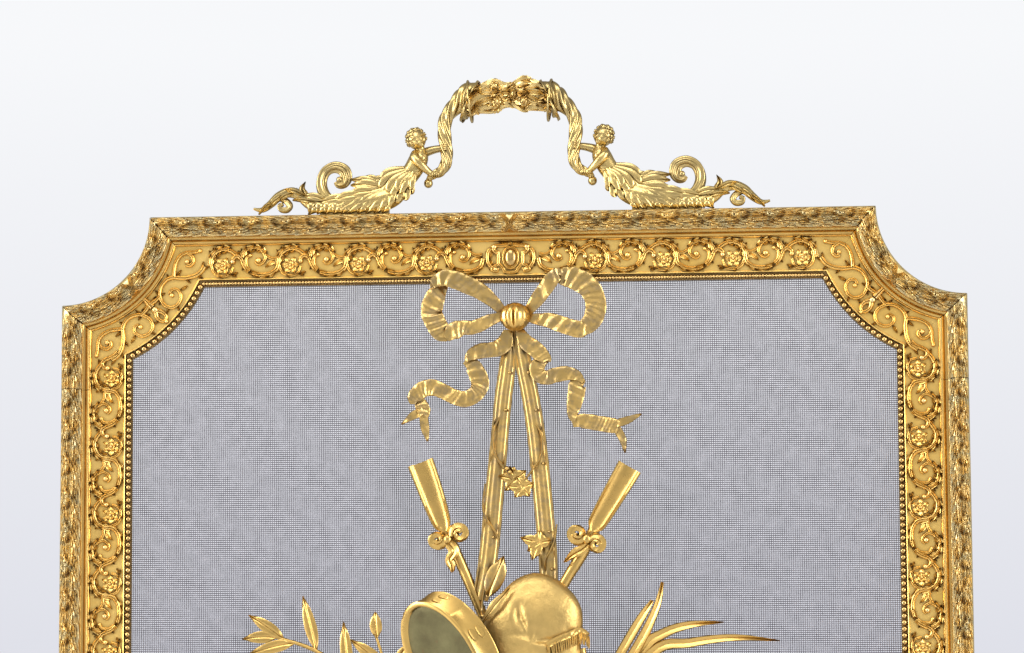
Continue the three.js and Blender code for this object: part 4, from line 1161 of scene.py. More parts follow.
crooks = {
    "left": {
        "scoop": [(-66.3, 515.7, 10, 19.5, 1), (-61, 501, 10, 18.6, 1), (-54.6, 482.5, 10, 16.5, 1),
                  (-50.8, 471.5, 10, 13.5, 0.9), (-49.4, 467.6, 9.6, 9, 0.5), (-48.6, 465.4, 9, 3, 0.2)],
        "pole": [(-49.6, 468, 4.2, 4.4), (-41.5, 450.9, 4.2, 4.2), (-33.6, 433.2, 4.2, 3.9),
                 (-4, 362, 4.2, 3.6),
                 (51, 228, 4.2, 3.4)],
        "coils": [((-54, 459.5), 6.4, 10), ((-37.8, 463.7), 7, 200)],
        "knotAt": (-46.4, 459.5, 12.5),
        "tail": [(-46, 457, 13, 7), (-41.6, 451, 13.4, 7.5), (-45.2, 445, 12.6, 6), (-43.6, 440.4, 11.6, 6),
                 (-43.3, 436, 10.4, 2)],
        "depth": 12,
    },
    "right": {
        "scoop": [(86, 510.4, 16.6, 18.6, 1), (79, 498.5, 16.6, 17.6, 1), (68.6, 481, 16.6, 15.6, 1),
                  (62, 470, 16.6, 13.5, 0.9), (59.8, 466.4, 16, 9, 0.5), (58.6, 464.4, 15.4, 3, 0.2)],
        "pole": [(60, 466.5, 10.8, 4.4), (53.2, 452.8, 10.8, 4.4), (45.8, 440, 10.8, 4.1),
                 (36.9, 425.8, 10.8, 3.9),
                 (-20, 329, 10.8, 3.6), (-83, 215, 10.8, 3.4)],
        "coils": [((47.9, 462.6), 7, 330), ((61.7, 454.5), 6.6, 150)],
        "knotAt": (54.8, 458.6, 18.5),
        "tail": [(55.6, 455, 19, 5), (50.4, 450.6, 19.4, 7), (45.4, 448.1, 19, 6.5), (37.7, 442.1, 16, 1)],
        "depth": 18,
    },
}
for hand, crook in crooks.items():
    bm = bmesh.new()
    addRibbon(bm, crook["scoop"], rows=26, cross=scoopCross, thick=1.0)
    addTube(bm, crook["pole"], rows=40, sides=12)
    newPiece("crook" + hand.title(), bm, trophyGilt, "trophy_gilt", "crook_" + hand)
    bm = bmesh.new()
    for centre, radius, start in crook["coils"]:
        addTube(bm, coilPath(centre, crook["depth"], radius - 0.8, 3.0, 1.5, start, -1), rows=36, sides=10,
                flutes=4, fluteDepth=0.16, twist=9)
    addKnob(bm, crook["knotAt"], (3.4, 4.0, 3.4), rings=10)
    addRibbon(bm, crook["tail"], rows=20, cross=leafCross, thick=1.6)
    newPiece("crookBow" + hand.title(), bm, trophyGilt, "trophy_gilt", "crook_bow_" + hand)

# bagpipe
bagOutline = [(51.5, 398, 1), (50.5, 409, 1), (44, 420.5, 1), (31, 431, 1), (16, 434.5, 1), (3, 429.5, 1),
              (-7, 420, 1), (-15, 408.5, 1), (-20.5, 394, 1), (-21, 376, 1), (-14, 356, 1), (-2, 338, 1),
              (14, 326, 1), (32, 328, 1), (46, 344, 1), (51, 364, 1), (50, 384, 1)]
bagDents = [  # (x, z, half-width, half-height, how far forward)
    (28, 408, 24, 20, 2.4), (-4, 384, 18, 22, 1.8), (6.0, 404, 2.6, 5.6, -4.2), (9.5, 397, 2.4, 3.4, -3.2),
    (15, 390.5, 10, 2.2, -3.0), (24, 386, 6, 2.2, -3.0), (2, 408, 3, 7, 1.2), (20, 380, 12, 6, 1.6),
]


def layBag(along, across):
    heart = (15, 384)
    edge = alongPath(bagOutline + [bagOutline[0]], across)
    polar = math.pi * along
    spread = math.sin(polar) ** 0.82
    x = heart[0] + (edge[0] - heart[0]) * spread
    z = heart[1] + (edge[1] - heart[1]) * spread
    forward = math.cos(polar)
    depth = 21 + (12 if forward > 0 else 6.5) * math.copysign(abs(forward) ** 0.9, forward)
    if forward > 0:
        share = min(forward * 2, 1)
        for dx, dz, wide, high, rise in bagDents:
            depth += share * rise * math.exp(-((x - dx) / wide) ** 2 - ((z - dz) / high) ** 2)
        depth += share * 0.45 * noise.noise(Vector((x * 0.16, z * 0.16, 3)))
        depth += share * 0.22 * noise.noise(Vector((x * 0.5, z * 0.22, 7)))
    return fromFront(x, z, depth)


bm = bmesh.new()
addSheet(bm, 44, 72, layBag, capped=False)
addRibbon(bm, [(-19.4, 400.2, 29, 2), (-14.6, 406, 31, 6), (-9, 413, 32.4, 7), (-0.1, 423.5, 31, 1)],
          rows=14, cross=leafCross, thick=1.5)
newPiece("bagpipeBag", bm, bagGilt, "trophy_gilt", "bagpipe_bag", sharpAngle=70)

bm = bmesh.new()
hem = [(26.6, 382.4, 34.6, 4.6), (34.4, 386.4, 35.4, 4.8), (42, 389.4, 34.4, 4.8), (50.1, 392.6, 31, 4.6),
       (56, 389.4, 26.4, 3)]
addRibbon(bm, hem, rows=30, pleats=11, pleatDepth=0.4, thick=1.4)
for i in range(22):
    x, z, depth, width = alongPath(hem, (i + 0.5) / 22)
    sway = random.Random(i).uniform(-0.8, 0.8)
    addTube(bm, [(x, z - 1, depth - 0.4, 0.9), (x + 0.6 + sway * 0.4, z - 5, depth + 0.2, 0.85),
                 (x + 0.8 + sway, z - 9.4, depth - 1.2, 0.5)], rows=5, sides=6)
newPiece("bagpipeFringe", bm, trophyGilt, "trophy_gilt", "bagpipe_fringe")

bm = bmesh.new()
chanterRings = [(0.16, 4.3), (0.2, 4.3), (0.44, 4.4), (0.47, 4.6), (0.5, 4.4), (0.86, 5.2), (0.89, 5.2)]
pipeAxis = [(50.6, 380, 21), (56.2, 348, 18.6), (62, 322, 17.4), (72.6, 276, 16.8)]


def layPipe(along, across):
    x, z, depth = alongPath(pipeAxis, along)
    radius = 2.8 + 1.2 * along
    for at, bulge in chanterRings:
        radius = max(radius, bulge - ((along - at) * 90) ** 2)
    if along > 0.92:
        radius = 4 + (along - 0.92) * 60
    angle = 2 * math.pi * across
    return fromFront(x + radius * math.cos(angle), z + 0.24 * radius * math.cos(angle),
                     depth + radius * math.sin(angle))


addSheet(bm, 90, 14, layPipe)
for i in range(6):  # finger holes, raised at the rim
    x, z, depth = alongPath(pipeAxis, 0.54 + i * 0.055)
    addKnob(bm, (x, z, depth + 3.2 + i * 0.12), (0.9, 0.9, 0.7), rings=6)
newPiece("bagpipeChanter", bm, trophyGilt, "trophy_gilt", "bagpipe_chanter")

# tambourine: hoop turned about its own axis, then flattened as relief work
hoop = {"centre": (-48, 33, 371), "squash": 0.33, "jingles": 7, "depthShare": 0.72}
hoopAxis = Vector((-0.75, -0.51, -0.43)).normalized()
hoopTurn = Vector((0, 0, 1)).rotation_difference(hoopAxis)


def onHoop(radius, turn, height):
    flat = Vector((radius * math.cos(turn), radius * math.sin(turn), height * hoop["depthShare"]))
    point = hoopTurn @ flat
    return fromFront(hoop["centre"][0] + point.x, hoop["centre"][2] + point.z,
                     hoop["centre"][1] - point.y * hoop["squash"])


hoopSection = [(43, -12), (43, -1.6), (43.6, -0.2), (45, 0.6), (46.6, 0.4), (47.4, -0.8), (47.2, -2.4),
               (46.6, -3.2),
               (46.6, -21.8), (47.2, -22.8), (47.4, -24.6), (46.6, -25.8), (45, -26), (43.6, -25.6), (43.2,
                                                            -24)]
jingleTurns = [2 * math.pi * (i + 0.35) / hoop["jingles"] for i in range(hoop["jingles"])]


def layHoop(along, across):
    radius, height = hoopSection[round(across * len(hoopSection)) % len(hoopSection)]
    turn = 2 * math.pi * along
    return onHoop(radius, turn, height)


bm = bmesh.new()
addSheet(bm, 72, len(hoopSection), layHoop, capped=False)
bmesh.ops.remove_doubles(bm, verts=bm.verts, dist=1e-6)
for turn in jingleTurns:
    for level in (-8.5, -17):
        addSheet(bm, 14, 8, lambda along, across: onHoop(
            46.4 + 1.7 * math.sin(math.pi * across * 2 % math.pi) * (0.4 + 0.6 * math.sin(math.pi * along)),
            turn + 0.11 * math.cos(math.pi * along), level + 3.4 * math.sin(2 * math.pi
                                                            * across) * math.sin(math.pi * along)),
            capped=False)
bmesh.ops.recalc_face_normals(bm, faces=bm.faces)
newPiece("tambourineHoop", bm, trophyGilt, "trophy_gilt", "tambourine_hoop")


def laySkin(along, across):
    radius = 43.1 * along
    dish = -1.4 + 0.9 * (1 - along) - 1.3 * max(along - 0.9, 0) * 10
    return onHoop(radius, 2 * math.pi * across, -2.4 + dish)


skin = bmesh.new()
addSheet(skin, 20, 72, laySkin, capped=False)
newPiece("tambourineSkin", skin, skinTone, "tambourine_skin", "tambourine_skin")
print("trophy instruments shaped")

# laurel branch, reeds and tie bow at the foot of the trophy
sprayDepth = 3.6
branchStem = [(-2, 260, sprayDepth, 2.2), (-43, 285, sprayDepth, 2.1), (-93, 339, sprayDepth, 1.9),
              (-138, 377, sprayDepth, 1.6), (-172, 390, sprayDepth, 1.2)]
twigStem = [(-74, 318, sprayDepth, 1.6), (-86, 349, sprayDepth, 1.3), (-99, 389, sprayDepth, 1.0)]
sprays = [  # share along the stem, then the reach of the leaf
    (branchStem, [(0.1, -8, 30), (0.24, -30, -12), (0.36, 4, 42), (0.44, -34, -10), (0.52, -34, 2),
                  (0.64, -4, 38),
                  (0.7, -32, -4), (0.78, -10, 40), (0.88, -34, -8), (0.94, -26, 18), (1, -25, -1)]),
    (twigStem, [(0.62, 14, 28), (0.72, -26, 20), (1, -1, 19)]),
]
bm = bmesh.new()
for stem, leaves in sprays:
    addTube(bm, stem, rows=40, sides=8)
    for share, across, up in leaves:
        x, z, depth, size = alongPath(stem, share)
        addRibbon(bm, [(x, z, depth, 1.5), (x + across * 0.3, z + up * 0.3 + 0.6, depth + 1.2, 8.6),
                       (x + across * 0.65, z + up * 0.65 + 0.6, depth + 1.6, 7.4), (x + across, z + up,
                                                            depth + 0.4, 0.8)],
                  rows=12, cross=leafCross, thick=1.2)
newPiece("laurelBranch", bm, trophyGilt, "trophy_gilt", "laurel_branch")

reedDepth = 9.6
reedPaths = [
    [(7, 262, 3), (50, 330, 6), (88, 394, 7), (101, 414.5, 3)],
    [(7, 262, 3), (52, 326, 6), (88, 378, 7.5), (103.4, 408, 5.5), (108.4, 427.5, 2.4)],
    [(7, 261, 3), (52, 318, 6), (92, 377, 8), (108, 390.4, 7.5), (128, 397, 5.5), (152, 398.6, 1)],
    [(7, 261, 3), (60, 322, 6), (100, 376.5, 8), (128, 384, 7), (160, 387.6, 5), (192, 385, 1)],
    [(7, 260, 3), (62, 300, 6), (122, 345, 8), (182, 352, 1)],
    [(7, 260, 3), (60, 284, 6), (115, 310, 8), (165, 308, 1)],
]
reedCross = [(-1, 0), (-0.8, 0.9), (-0.1, 0.2), (0, 0), (0.1, 0.2), (0.8, 0.9), (1, 0), (0.5, -0.8),
             (-0.5, -0.8)]
bm = bmesh.new()
for i, reed in enumerate(reedPaths):
    addRibbon(bm, [(x, z, reedDepth + 0.5 * (i % 2), width) for x, z, width in reed], rows=30,
              cross=reedCross, thick=1.3)
newPiece("reedLeaves", bm, trophyGilt, "trophy_gilt", "reed_leaves")

bm = bmesh.new()
for side in (-1, 1):
    addRibbon(bm, [(2, 262, 22, 6), (2 + side * 8, 266, 24, 10), (2 + side * 17, 266.5, 24, 11),
                   (2 + side * 21, 262, 22.6, 9), (2 + side * 16, 258.6, 21, 7), (2 + side * 6, 260.5, 20.6,
                                                            5)],
              rows=60, pleats=10, pleatDepth=0.5)
    addRibbon(bm, [(2, 260, 22, 5), (2 + side * 8, 250, 21.6, 8), (2 + side * 13, 240, 21, 8),
                   (2 + side * 21, 231, 20.6, 1.5)], rows=42, pleats=7, pleatDepth=0.5)
addKnob(bm, (2, 261, 22.6), (6, 5.6, 4.6), rings=20, shape=knotShape)
addTube(bm, [(2, 262, 20, 5.2), (2, 261.6, 10, 5), (2, 261.6, 1.2, 5)], rows=6, sides=14)
newPiece("tieBow", bm, trophyGilt, "trophy_gilt", "tie_bow", sharpAngle=60)
print("branch, reeds and tie bow shaped")

# handle: flower grip held by two cherubs with horns
handle = {"hornStrands": 6, "hornTurns": 1.7, "headTurn": 30, "headTilt": 25, "headLean": 8}
gripPath = [(-34, 779.8, 8, 8.2), (-24, 782.2, 8, 9.4), (-14, 784.2, 8, 11.2), (-7, 785, 8, 9.6),
            (-1, 785.2, 8, 7.6),
            (4, 785.6, 8, 9.2), (10, 785.8, 8, 12), (18, 785, 8, 10.4), (26, 783.2, 8, 9), (34, 781.4, 8,
                                                            8.4)]


def flowerUnit(petals, size):
    bm = bmesh.new()
    for ring in (0, 1):
        for i in range(petals):
            turn = 2 * math.pi * (i + 0.5 * ring) / petals
            reach = size * (1 - 0.42 * ring)
            addBlade(bm, (0, 0), (reach * math.cos(turn), reach * math.sin(turn)),
                     size * 0.42 * (1 - 0.3 * ring),
                     rows=6, lift=(0.4 + ring * 0.9, 1.0 + ring * 1.2), relief=1.2)
    addBead(bm, (0, 0, 2.2), size * 0.24, 8)
    return asMesh(bm)


def onGrip(along, turn):
    def place(co):
        x, z, depth, radius = alongPath(gripPath, min(max(along + co.x / 68, 0), 1))
        angle = turn + co.y / radius
        reach = radius + co.z - 0.8
        return fromFront(x, z + reach * math.sin(angle), depth + reach * math.cos(angle))
    return place


bm = bmesh.new()
addTube(bm, [(x, z, depth, radius - 0.6) for x, z, depth, radius in gripPath], rows=60, sides=28)
blossoms = [flowerUnit(8, 7.2), flowerUnit(6, 6.0), flowerUnit(9, 7.8)]
spray = bmesh.new()
for lean in (-3.2, 0.4, 3.6):
    addBlade(spray, (-7, lean * 0.4), (8, lean * 1.8), 2.5, rows=10, bend=lean * 0.5, lift=(0.3, 1.4),
             relief=1.8)
leafSpray = asMesh(spray)
for i in range(5):
    for k in range(5):
        pick = random.Random(i * 31 + k)
        along = (i + 0.5 + pick.uniform(-0.16, 0.16)) / 5
        turn = 2 * math.pi * (k + 0.5 * (i % 2) + pick.uniform(-0.14, 0.14)) / 5
        addTo(bm, leafSpray, onGrip(min(along + 0.1, 0.9), turn + 0.5), flip=True)
        if (i + k) % 3:
            addTo(bm, blossoms[(i + k) % 3], onGrip(along, turn), flip=True)
newPiece("flowerGrip", bm, gripGilt, "handle_gilt", "flower_grip", sharpAngle=45)

hornMouth = [(29.4, 780.8, 8, 15.2), (30.8, 781.3, 8, 13.6), (33.6, 781.0, 8, 10.4), (37.8, 778.9, 8, 7.2)]
hornPath = hornMouth + [(43.0, 774.6, 8, 5.2), (47.2, 768.0, 8, 4.7), (48.4, 759.3, 8, 4.6),
                        (47.4, 749.3, 8, 4.4),
                        (46.5, 741.4, 8, 4.1), (47.5, 734.5, 8, 3.9), (51.1, 729.4, 8, 3.5), (55.5, 727.2,
                                                            8, 3.0),
                        (58.6, 725.2, 8, 2.5), (60, 722.4, 8, 1.8)]
bm = bmesh.new()
strands = handle["hornStrands"]
addTube(bm, hornPath, rows=170, sides=54, flutes=strands, fluteDepth=0.13,
        twist=strands * 2 * math.pi * handle["hornTurns"], capped=False, fade=0.16)
dish = bmesh.new()
addTube(dish, [(x - 0.2, z, depth, radius * share) for (x, z, depth, radius),
               share in zip(hornMouth, (1.1, 0.94, 0.9, 0.8))],
        rows=16, sides=54, capped=False)
addTo(bm, asMesh(dish), flip=True)
addKnob(bm, (60.2, 720.6, 8), (3.3, 3.5, 3.3), rings=10)


def layLip(along, across):  # rolled rim of the horn's mouth
    around, section = 2 * math.pi * along, 2 * math.pi * across
    reach = 15.1 + 0.8 * math.sin(section)
    lean = 0.09 * reach * math.sin(around)
    return fromFront(29.4 + 0.9 * math.cos(section) + lean, 780.8 + reach * math.sin(around),
                     8 + reach * math.cos(around))


addSheet(bm, 72, 8, layLip, capped=False)
mirroredPiece("hornLeft", bm, handleGilt, "handle_gilt", "horn_left")
newPiece("hornRight", bm, handleGilt, "handle_gilt", "horn_right")


def bump(towards, aim, size, height):
    off = Vector(towards) - Vector(aim).normalized()
    return 1.5 * height * math.exp(-(off.x / size[0]) ** 2 - (off.z / size[1]) ** 2 - (off.y / 0.6) ** 2)


faceMarks = [  # direction, size across and up, height as a share of the head's radius
    ((0.36, -0.9, 0.02), (0.17, 0.10), -0.10), ((-0.36, -0.9, 0.02), (0.17, 0.10), -0.10),
    ((0.36, -0.9, 0.0), (0.10, 0.06), 0.07), ((-0.36, -0.9, 0.0), (0.10, 0.06), 0.07),
    ((0, -1, -0.02), (0.07, 0.16), 0.07), ((0, -1, -0.2), (0.12, 0.09), 0.15),
    ((0.34, -0.9, 0.2), (0.24, 0.07), 0.04), ((-0.34, -0.9, 0.2), (0.24, 0.07), 0.04),
    ((0, -0.92, -0.42), (0.15, 0.045), 0.06), ((0, -0.9, -0.56), (0.13, 0.05), 0.05),
    ((0, -0.9, -0.49), (0.2, 0.02), -0.05), ((0, -0.8, -0.82), (0.2, 0.14), 0.10),
    ((0.5, -0.75, -0.34), (0.22, 0.22), 0.07), ((-0.5, -0.75, -0.34), (0.22, 0.22), 0.07),
]


def layHead(along, across):
    polar = math.pi * along
    turn = 2 * math.pi * across
    towards = Vector((math.sin(polar) * math.sin(turn), -math.sin(polar) * math.cos(turn), math.cos(polar)))
    reach = 1 + sum(bump(towards, aim, size, height) for aim, size, height in faceMarks)
    jaw = 1 - 0.14 * max(-towards.z, 0)
    return Vector((towards.x * 7.0 * jaw, towards.y * 7.4, towards.z * 8.0)) * reach


def headUnit():
    bm = bmesh.new()
    addSheet(bm, 44, 64, layHead, capped=False)
    locks = [(0.05, 0.2)] + [(0.34, i / 7) for i in range(7)] + [(0.6, i / 11 + 0.03) for i in range(11)]
    locks += [(0.88, i / 12) for i in range(1, 12)] + [(1.14, i / 12 + 0.04) for i in range(2, 11)]
    for lean, round_ in locks:
        polar = lean * math.pi / 2
        turn = 2 * math.pi * round_
        towards = Vector((math.sin(polar) * math.sin(turn), -math.sin(polar) * math.cos(turn),
                          math.cos(polar)))
        if towards.y < -0.62 and towards.z < 0.72:
            continue
        centre = Vector((towards.x * 6.9, towards.y * 7.3, towards.z * 7.8))
        curl = bmesh.new()
        addBead(curl, (0, 0, 0), 1.9, 10, 0.6)
        for vert in curl.verts:
            around = math.atan2(vert.co.y, vert.co.x)
            far = math.hypot(vert.co.x, vert.co.y)
            vert.co.z += 0.45 * math.sin(around * 2 + far * 3.4 + lean * 5)
        tilt = Vector((0, 0, 1)).rotation_difference(towards)
        addTo(bm, asMesh(curl), lambda co: centre + tilt @ co)
    for side in (-1, 1):
        ear = bmesh.new()
        addBead(ear, (0, 0, 0), 1.7, 10)
        addTo(bm, asMesh(ear), lambda co: Vector((side * 6.9 + co.x * 0.6, 0.4 + co.y * 0.7,
                                                  -0.6 + co.z * 1.1)))
    return asMesh(bm)


bm = bmesh.new()
turnHead = (Matrix.Translation(Vector((68.8, -10.4, 753.0)))
            @ Matrix.Rotation(math.radians(handle["headTilt"]), 4, "Y")
            @ Matrix.Rotation(math.radians(-handle["headTurn"]), 4, "Z")
            @ Matrix.Rotation(math.radians(handle["headLean"]), 4, "X"))
addTo(bm, headUnit(), lambda co: (turnHead @ co) * mm)
addTube(bm, [(84, 714, 8, 6.2), (79.4, 720, 8.4, 6.6), (75, 725.6, 9, 7.0), (70.6, 731.6, 9.4, 7.2),
             (67.6, 737.6, 9.2, 7.2),
             (66.4, 742.2, 9, 6.2), (66.2, 745.8, 9.4, 3.8), (66.8, 748.6, 10,
                                                            3.4)], rows=40, sides=20, flat=0.86)
addTube(bm, [(67, 741.6, 5, 3.6), (61.4, 744.6, 4.6, 3.4), (55.4, 746.2, 5, 2.9), (49.4, 746.8, 6, 2.6)],
        rows=16, sides=12)
addTube(bm, [(69, 742, 11, 3.7), (69.6, 739, 14.6, 3.7), (66.6, 735.2, 16.4, 3.4), (62.6, 731.0, 15.4, 2.9),
             (58.8, 727.9, 12.8, 2.4)], rows=24, sides=12)
addKnob(bm, (58.0, 727.2, 12.4), (2.9, 2.5, 2.3), rings=10)
for i in range(4):
    addTube(bm, [(57.8 - i * 1.3, 728.6 - i * 0.2, 13.6, 0.85), (56.4 - i * 1.4, 726.4, 13.4, 0.8),
                 (56.6 - i * 1.3, 724.6, 11.4, 0.7)], rows=8, sides=6)
    addTube(bm, [(50.6 - i * 0.2, 748.6 - i * 1.3, 8, 0.8), (47.6, 748.9 - i * 1.3, 12.4, 0.8),
                 (45.4, 748.6 - i * 1.3, 12.6, 0.7)], rows=8, sides=6)
# chest, belly and navel
for centre, size in (((65.0, 738.6, 13.2), (3.2, 3.0, 2.0)), ((70.2, 739.8, 13.4), (3.0, 2.8, 1.8)),
                     ((69.4, 731.6, 13.4), (4.4, 4.2, 2.4))):
    addKnob(bm, centre, size, rings=12)
# skirt of leaves in two tiers
skirt = [  # foot, tip, width, depth
    ((75, 730.6), (93, 724.4), 9.6, 12.4), ((75, 729), (93.6, 717.6), 10.4, 14.6), ((74, 728), (87.6, 714),
                                                            10.4, 16.2),
    ((72, 727.6), (80.4, 715), 9.6, 17), ((70, 727.4), (73.4, 717.4), 9, 16.6), ((78, 722), (91.4, 711.4),
                                                            10, 12.8),
    ((76.4, 721.4), (84, 708.4), 10, 14), ((74.6, 722), (76.8, 710.2), 9, 14.2), ((72.6, 723),
                                                            (72.4, 714.2), 7, 13.6),
]
for foot, tip, width, depth in skirt:
    knee = (foot[0] * 0.4 + tip[0] * 0.6 + 1, foot[1] * 0.4 + tip[1] * 0.6 + 1)
    addRibbon(bm, [(*foot, depth - 2, width * 0.6), (*knee, depth, width), (*tip, depth - 0.4, width * 0.8),
                   (tip[0] * 1.012, tip[1] - 1.2, depth - 2.6,
                    width * 0.25)], rows=16, cross=leafCross, thick=1.7)
# body of the great leaf and its tail
addTube(bm, [(78, 721, 8, 5.4), (86, 713.2, 8, 8.4), (97, 709.6, 8, 9.6), (110, 707.4, 8, 8.6),
             (124, 705.8, 8, 6.8),
             (137, 705.2, 8, 5.6), (147, 707.6, 8, 5.0), (154.6, 713.2, 8, 4.0), (162.8, 715.4, 8,
                                                            3.6), (170.4, 712.8, 8, 3.3),
             (176.4, 707.3, 8, 2.9), (182.8, 702.9, 8, 2.0), (189.3, 703.9, 8, 0.8)],
        rows=130, sides=60, flutes=8, fluteDepth=0.04, twist=3, flat=0.86)
sweeps = [  # leaf lobes over the body: root, tip, width, depth
    ((86, 716), (90.6, 699.6), 6.4, 14.8), ((88, 715), (97.6, 698.8), 6.8, 15), ((91, 714.4),
                                                            (105.4, 698.9), 6.8, 15),
    ((95, 713.6), (113, 701), 6.6, 14.6), ((99, 712.6), (121, 698.9), 6.4, 14.2), ((105, 711.4),
                                                            (129, 699.2), 6, 13.8),
    ((113, 710), (138, 699.2), 5.6, 13), ((121, 709), (148.6, 698.8), 5.2, 12.4), ((104, 713), (132, 707.4),
                                                            6.2, 14.6),
    ((112, 711), (143, 706.4), 5.4, 13.2), ((96, 715.4), (121.6, 710.6), 6.4, 14.8), ((92, 717.4),
                                                            (117, 719.6), 6.4, 13.6),
    ((92, 718.6), (117.2, 724), 5.4, 12.6), ((92, 719.6), (108.4, 725.6), 4.8, 12), ((90, 720.4),
                                                            (101.4, 724.4), 4.6, 11.6),
    ((132, 708), (153.6, 712.4), 4.6, 12.6), ((140, 706), (160, 709.6), 3.8, 12), ((150, 712), (166, 717.6),
                                                            3.6, 12),
    ((158, 715.4), (171.6, 708.4), 3.6, 11.6), ((166, 714), (178.4, 703.4), 3.4, 11.2), ((172, 710),
                                                            (185.4, 699.6), 2.8, 10.6),
]
sweeps += [((x, 706), (x + 5.6, 698.9), 6.4, 13.4) for x in range(88, 146, 6)]
for foot, tip, width, depth in sweeps:
    middle = (foot[0] * 0.45 + tip[0] * 0.55, foot[1] * 0.45 + tip[1] * 0.55 + 1.2)
    addRibbon(bm, [(*foot, depth - 1.6, width * 0.6), (*middle, depth + 0.8, width * 1.25),
                   (*tip, depth - 2.4, 1.4)],
              rows=12, cross=leafCross, thick=1.2)
# volute, upright tip and curl under the tail
addTube(bm, [(117, 705, 8, 3.0), (127.3, 708.2, 8, 3.4), (135, 711.4, 8, 3.7), (138.8, 718.3, 8, 3.7),
             (138.8, 725.2, 8, 3.6),
             (135.4, 731.2, 8, 3.5), (128.8, 733.8, 8, 3.8), (122.4, 731.2, 8, 4.1), (120.6, 725.6, 8, 3.9),
             (122.4, 721.4, 8.6, 3.1), (125.9, 720.6, 9.2, 2.5), (128, 723, 9.8, 1.9)],
        rows=90, sides=45, flutes=5, fluteDepth=0.17, twist=7)
addKnob(bm, (125.6, 724.2, 10), (2.3, 2.3, 2.4), rings=10)
addRibbon(bm, [(147, 706, 9, 6), (151.4, 712.6, 10, 7), (153.2, 718, 10, 4.8), (150.8, 723, 8.6, 0.6)],
          rows=16, cross=leafCross, thick=2.2)
addRibbon(bm, [(150, 710, 7, 5), (156.4, 713.8, 7, 4), (157.4, 719, 7, 0.8)], rows=12, cross=leafCross,
          thick=1.8)
addTube(bm, [(170, 711.4, 8, 2), (167, 710.2, 8.4, 2.1), (164, 708.2, 8.8, 2.2), (162.3, 705.2, 9, 2.2),
             (164.6, 702.4, 9, 2.2), (168.7, 702.8, 9, 2.1), (169.6, 705.6, 9.4, 1.8), (167.2, 706.6, 10,
                                                            1.4)],
        rows=40, sides=24, flutes=4, fluteDepth=0.14, twist=4)
addRibbon(bm, [(89, 701.2, 8, 9), (115, 700.4, 8, 11), (140, 700.2, 8, 8)], rows=12,
          cross=[(-1, -1), (-1, 1), (1, 1), (1, -1)], thick=3)
tabSize = (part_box("cherub_right")[1].y, 676, 701.3)
tab = bmesh.new()
bmesh.ops.create_cube(tab, size=1)
for vert in tab.verts:
    vert.co = Vector((115 + vert.co.x * 24, tabSize[0] / mm - 1.5 + vert.co.y * 2.9, 688.8 + vert.co.z * 25))
bmesh.ops.bevel(tab, geom=tab.edges[:], offset=0.5, segments=2, profile=0.5, material=-1, affect="EDGES")
addTo(bm, asMesh(tab), lambda co: co * mm)
bridge = bmesh.new()
bmesh.ops.create_cube(bridge, size=1)
for vert in bridge.verts:
    vert.co = Vector((115 + vert.co.x * 24, 2.2 + vert.co.y * 9.6, 700 + vert.co.z * 2.6))
bmesh.ops.bevel(bridge, geom=bridge.edges[:], offset=0.5, segments=2, profile=0.5, material=-1,
                affect="EDGES")
addTo(bm, asMesh(bridge), lambda co: co * mm)
mirroredPiece("cherubLeft", bm, handleGilt, "handle_gilt", "cherub_left", sharpAngle=60)
newPiece("cherubRight", bm, handleGilt, "handle_gilt", "cherub_right", sharpAngle=60)
print("handle shaped")

# feet: scrolled legs to the front and back of a block
foot = {"middle": 304.5, "halfWidth": 11.4, "rounding": 1.5}
footLine = ([(-16, 47.5), (-16, 38.5), (-24, 35.4), (-33, 29.4), (-45, 22.2), (-57, 17.2), (-70, 14),
             (-82, 13.7), (-90, 16.2)]
            + arcPoints((-95.5, 9.7), 8.6, 60, 262, 12) + [(-88, 0.9), (-70, 1), (-52, 3.2), (-34, 9.6),
                                                           (-17, 14.4), (0, 15.6)])
legTop = [(-17, 38.2), (-24, 35.6), (-34, 29.2), (-46, 21.8), (-58, 17), (-70, 14.2), (-82, 14), (-91, 17.4)]


def footCurve():
    curve = bpy.data.curves.new("footOutline", "CURVE")
    curve.dimensions = "2D"
    curve.fill_mode = "BOTH"
    curve.extrude = foot["halfWidth"] * mm
    curve.bevel_depth = foot["rounding"] * mm
    curve.bevel_resolution = 3
    outline = footLine + [(-y, z) for y, z in reversed(footLine[:-1])]
    spline = curve.splines.new("POLY")
    spline.points.add(len(outline) - 1)
    for knot, (y, z) in zip(spline.points, outline):
        knot.co = (y * mm, z * mm, 0, 1)
    spline.use_cyclic_u = True
    return meshFromCurve(curve)


def onLeg(side):
    def place(co):
        share = min(max(co.x / 86, 0), 0.98)
        y, z = alongPath(legTop, share)
        ahead = alongPath(legTop, share + 0.02)
        run = Vector((ahead[0] - y, ahead[1] - z)).normalized()
        lifted = Vector((y, z)) + Vector((run.y, -run.x)) * co.z
        return Vector((foot["middle"] + co.y, side * lifted.x, lifted.y)) * mm
    return place


def legLeaf():
    bm = bmesh.new()
    for i in range(6):
        for side in (-1, 1):
            root = 4 + 11 * i
            addBlade(bm, (root, side * 1.4), (root + 17, side * (10.8 - i * 0.7)), 3.4, rows=10,
                     bend=side * 2.0,
                     lift=(0.3, 0.9), relief=1.5)
            addBlade(bm, (root + 3, side * 1.2), (root + 17, side * 6), 2.2, rows=8, bend=side * 1.2,
                     lift=(0.8, 1.6), relief=1.2)
    addBlade(bm, (0, 0), (82, 0), 3.0, rows=30, lift=(1.0, 2.0), relief=1.6, width=lanceWidth)
    return asMesh(bm)


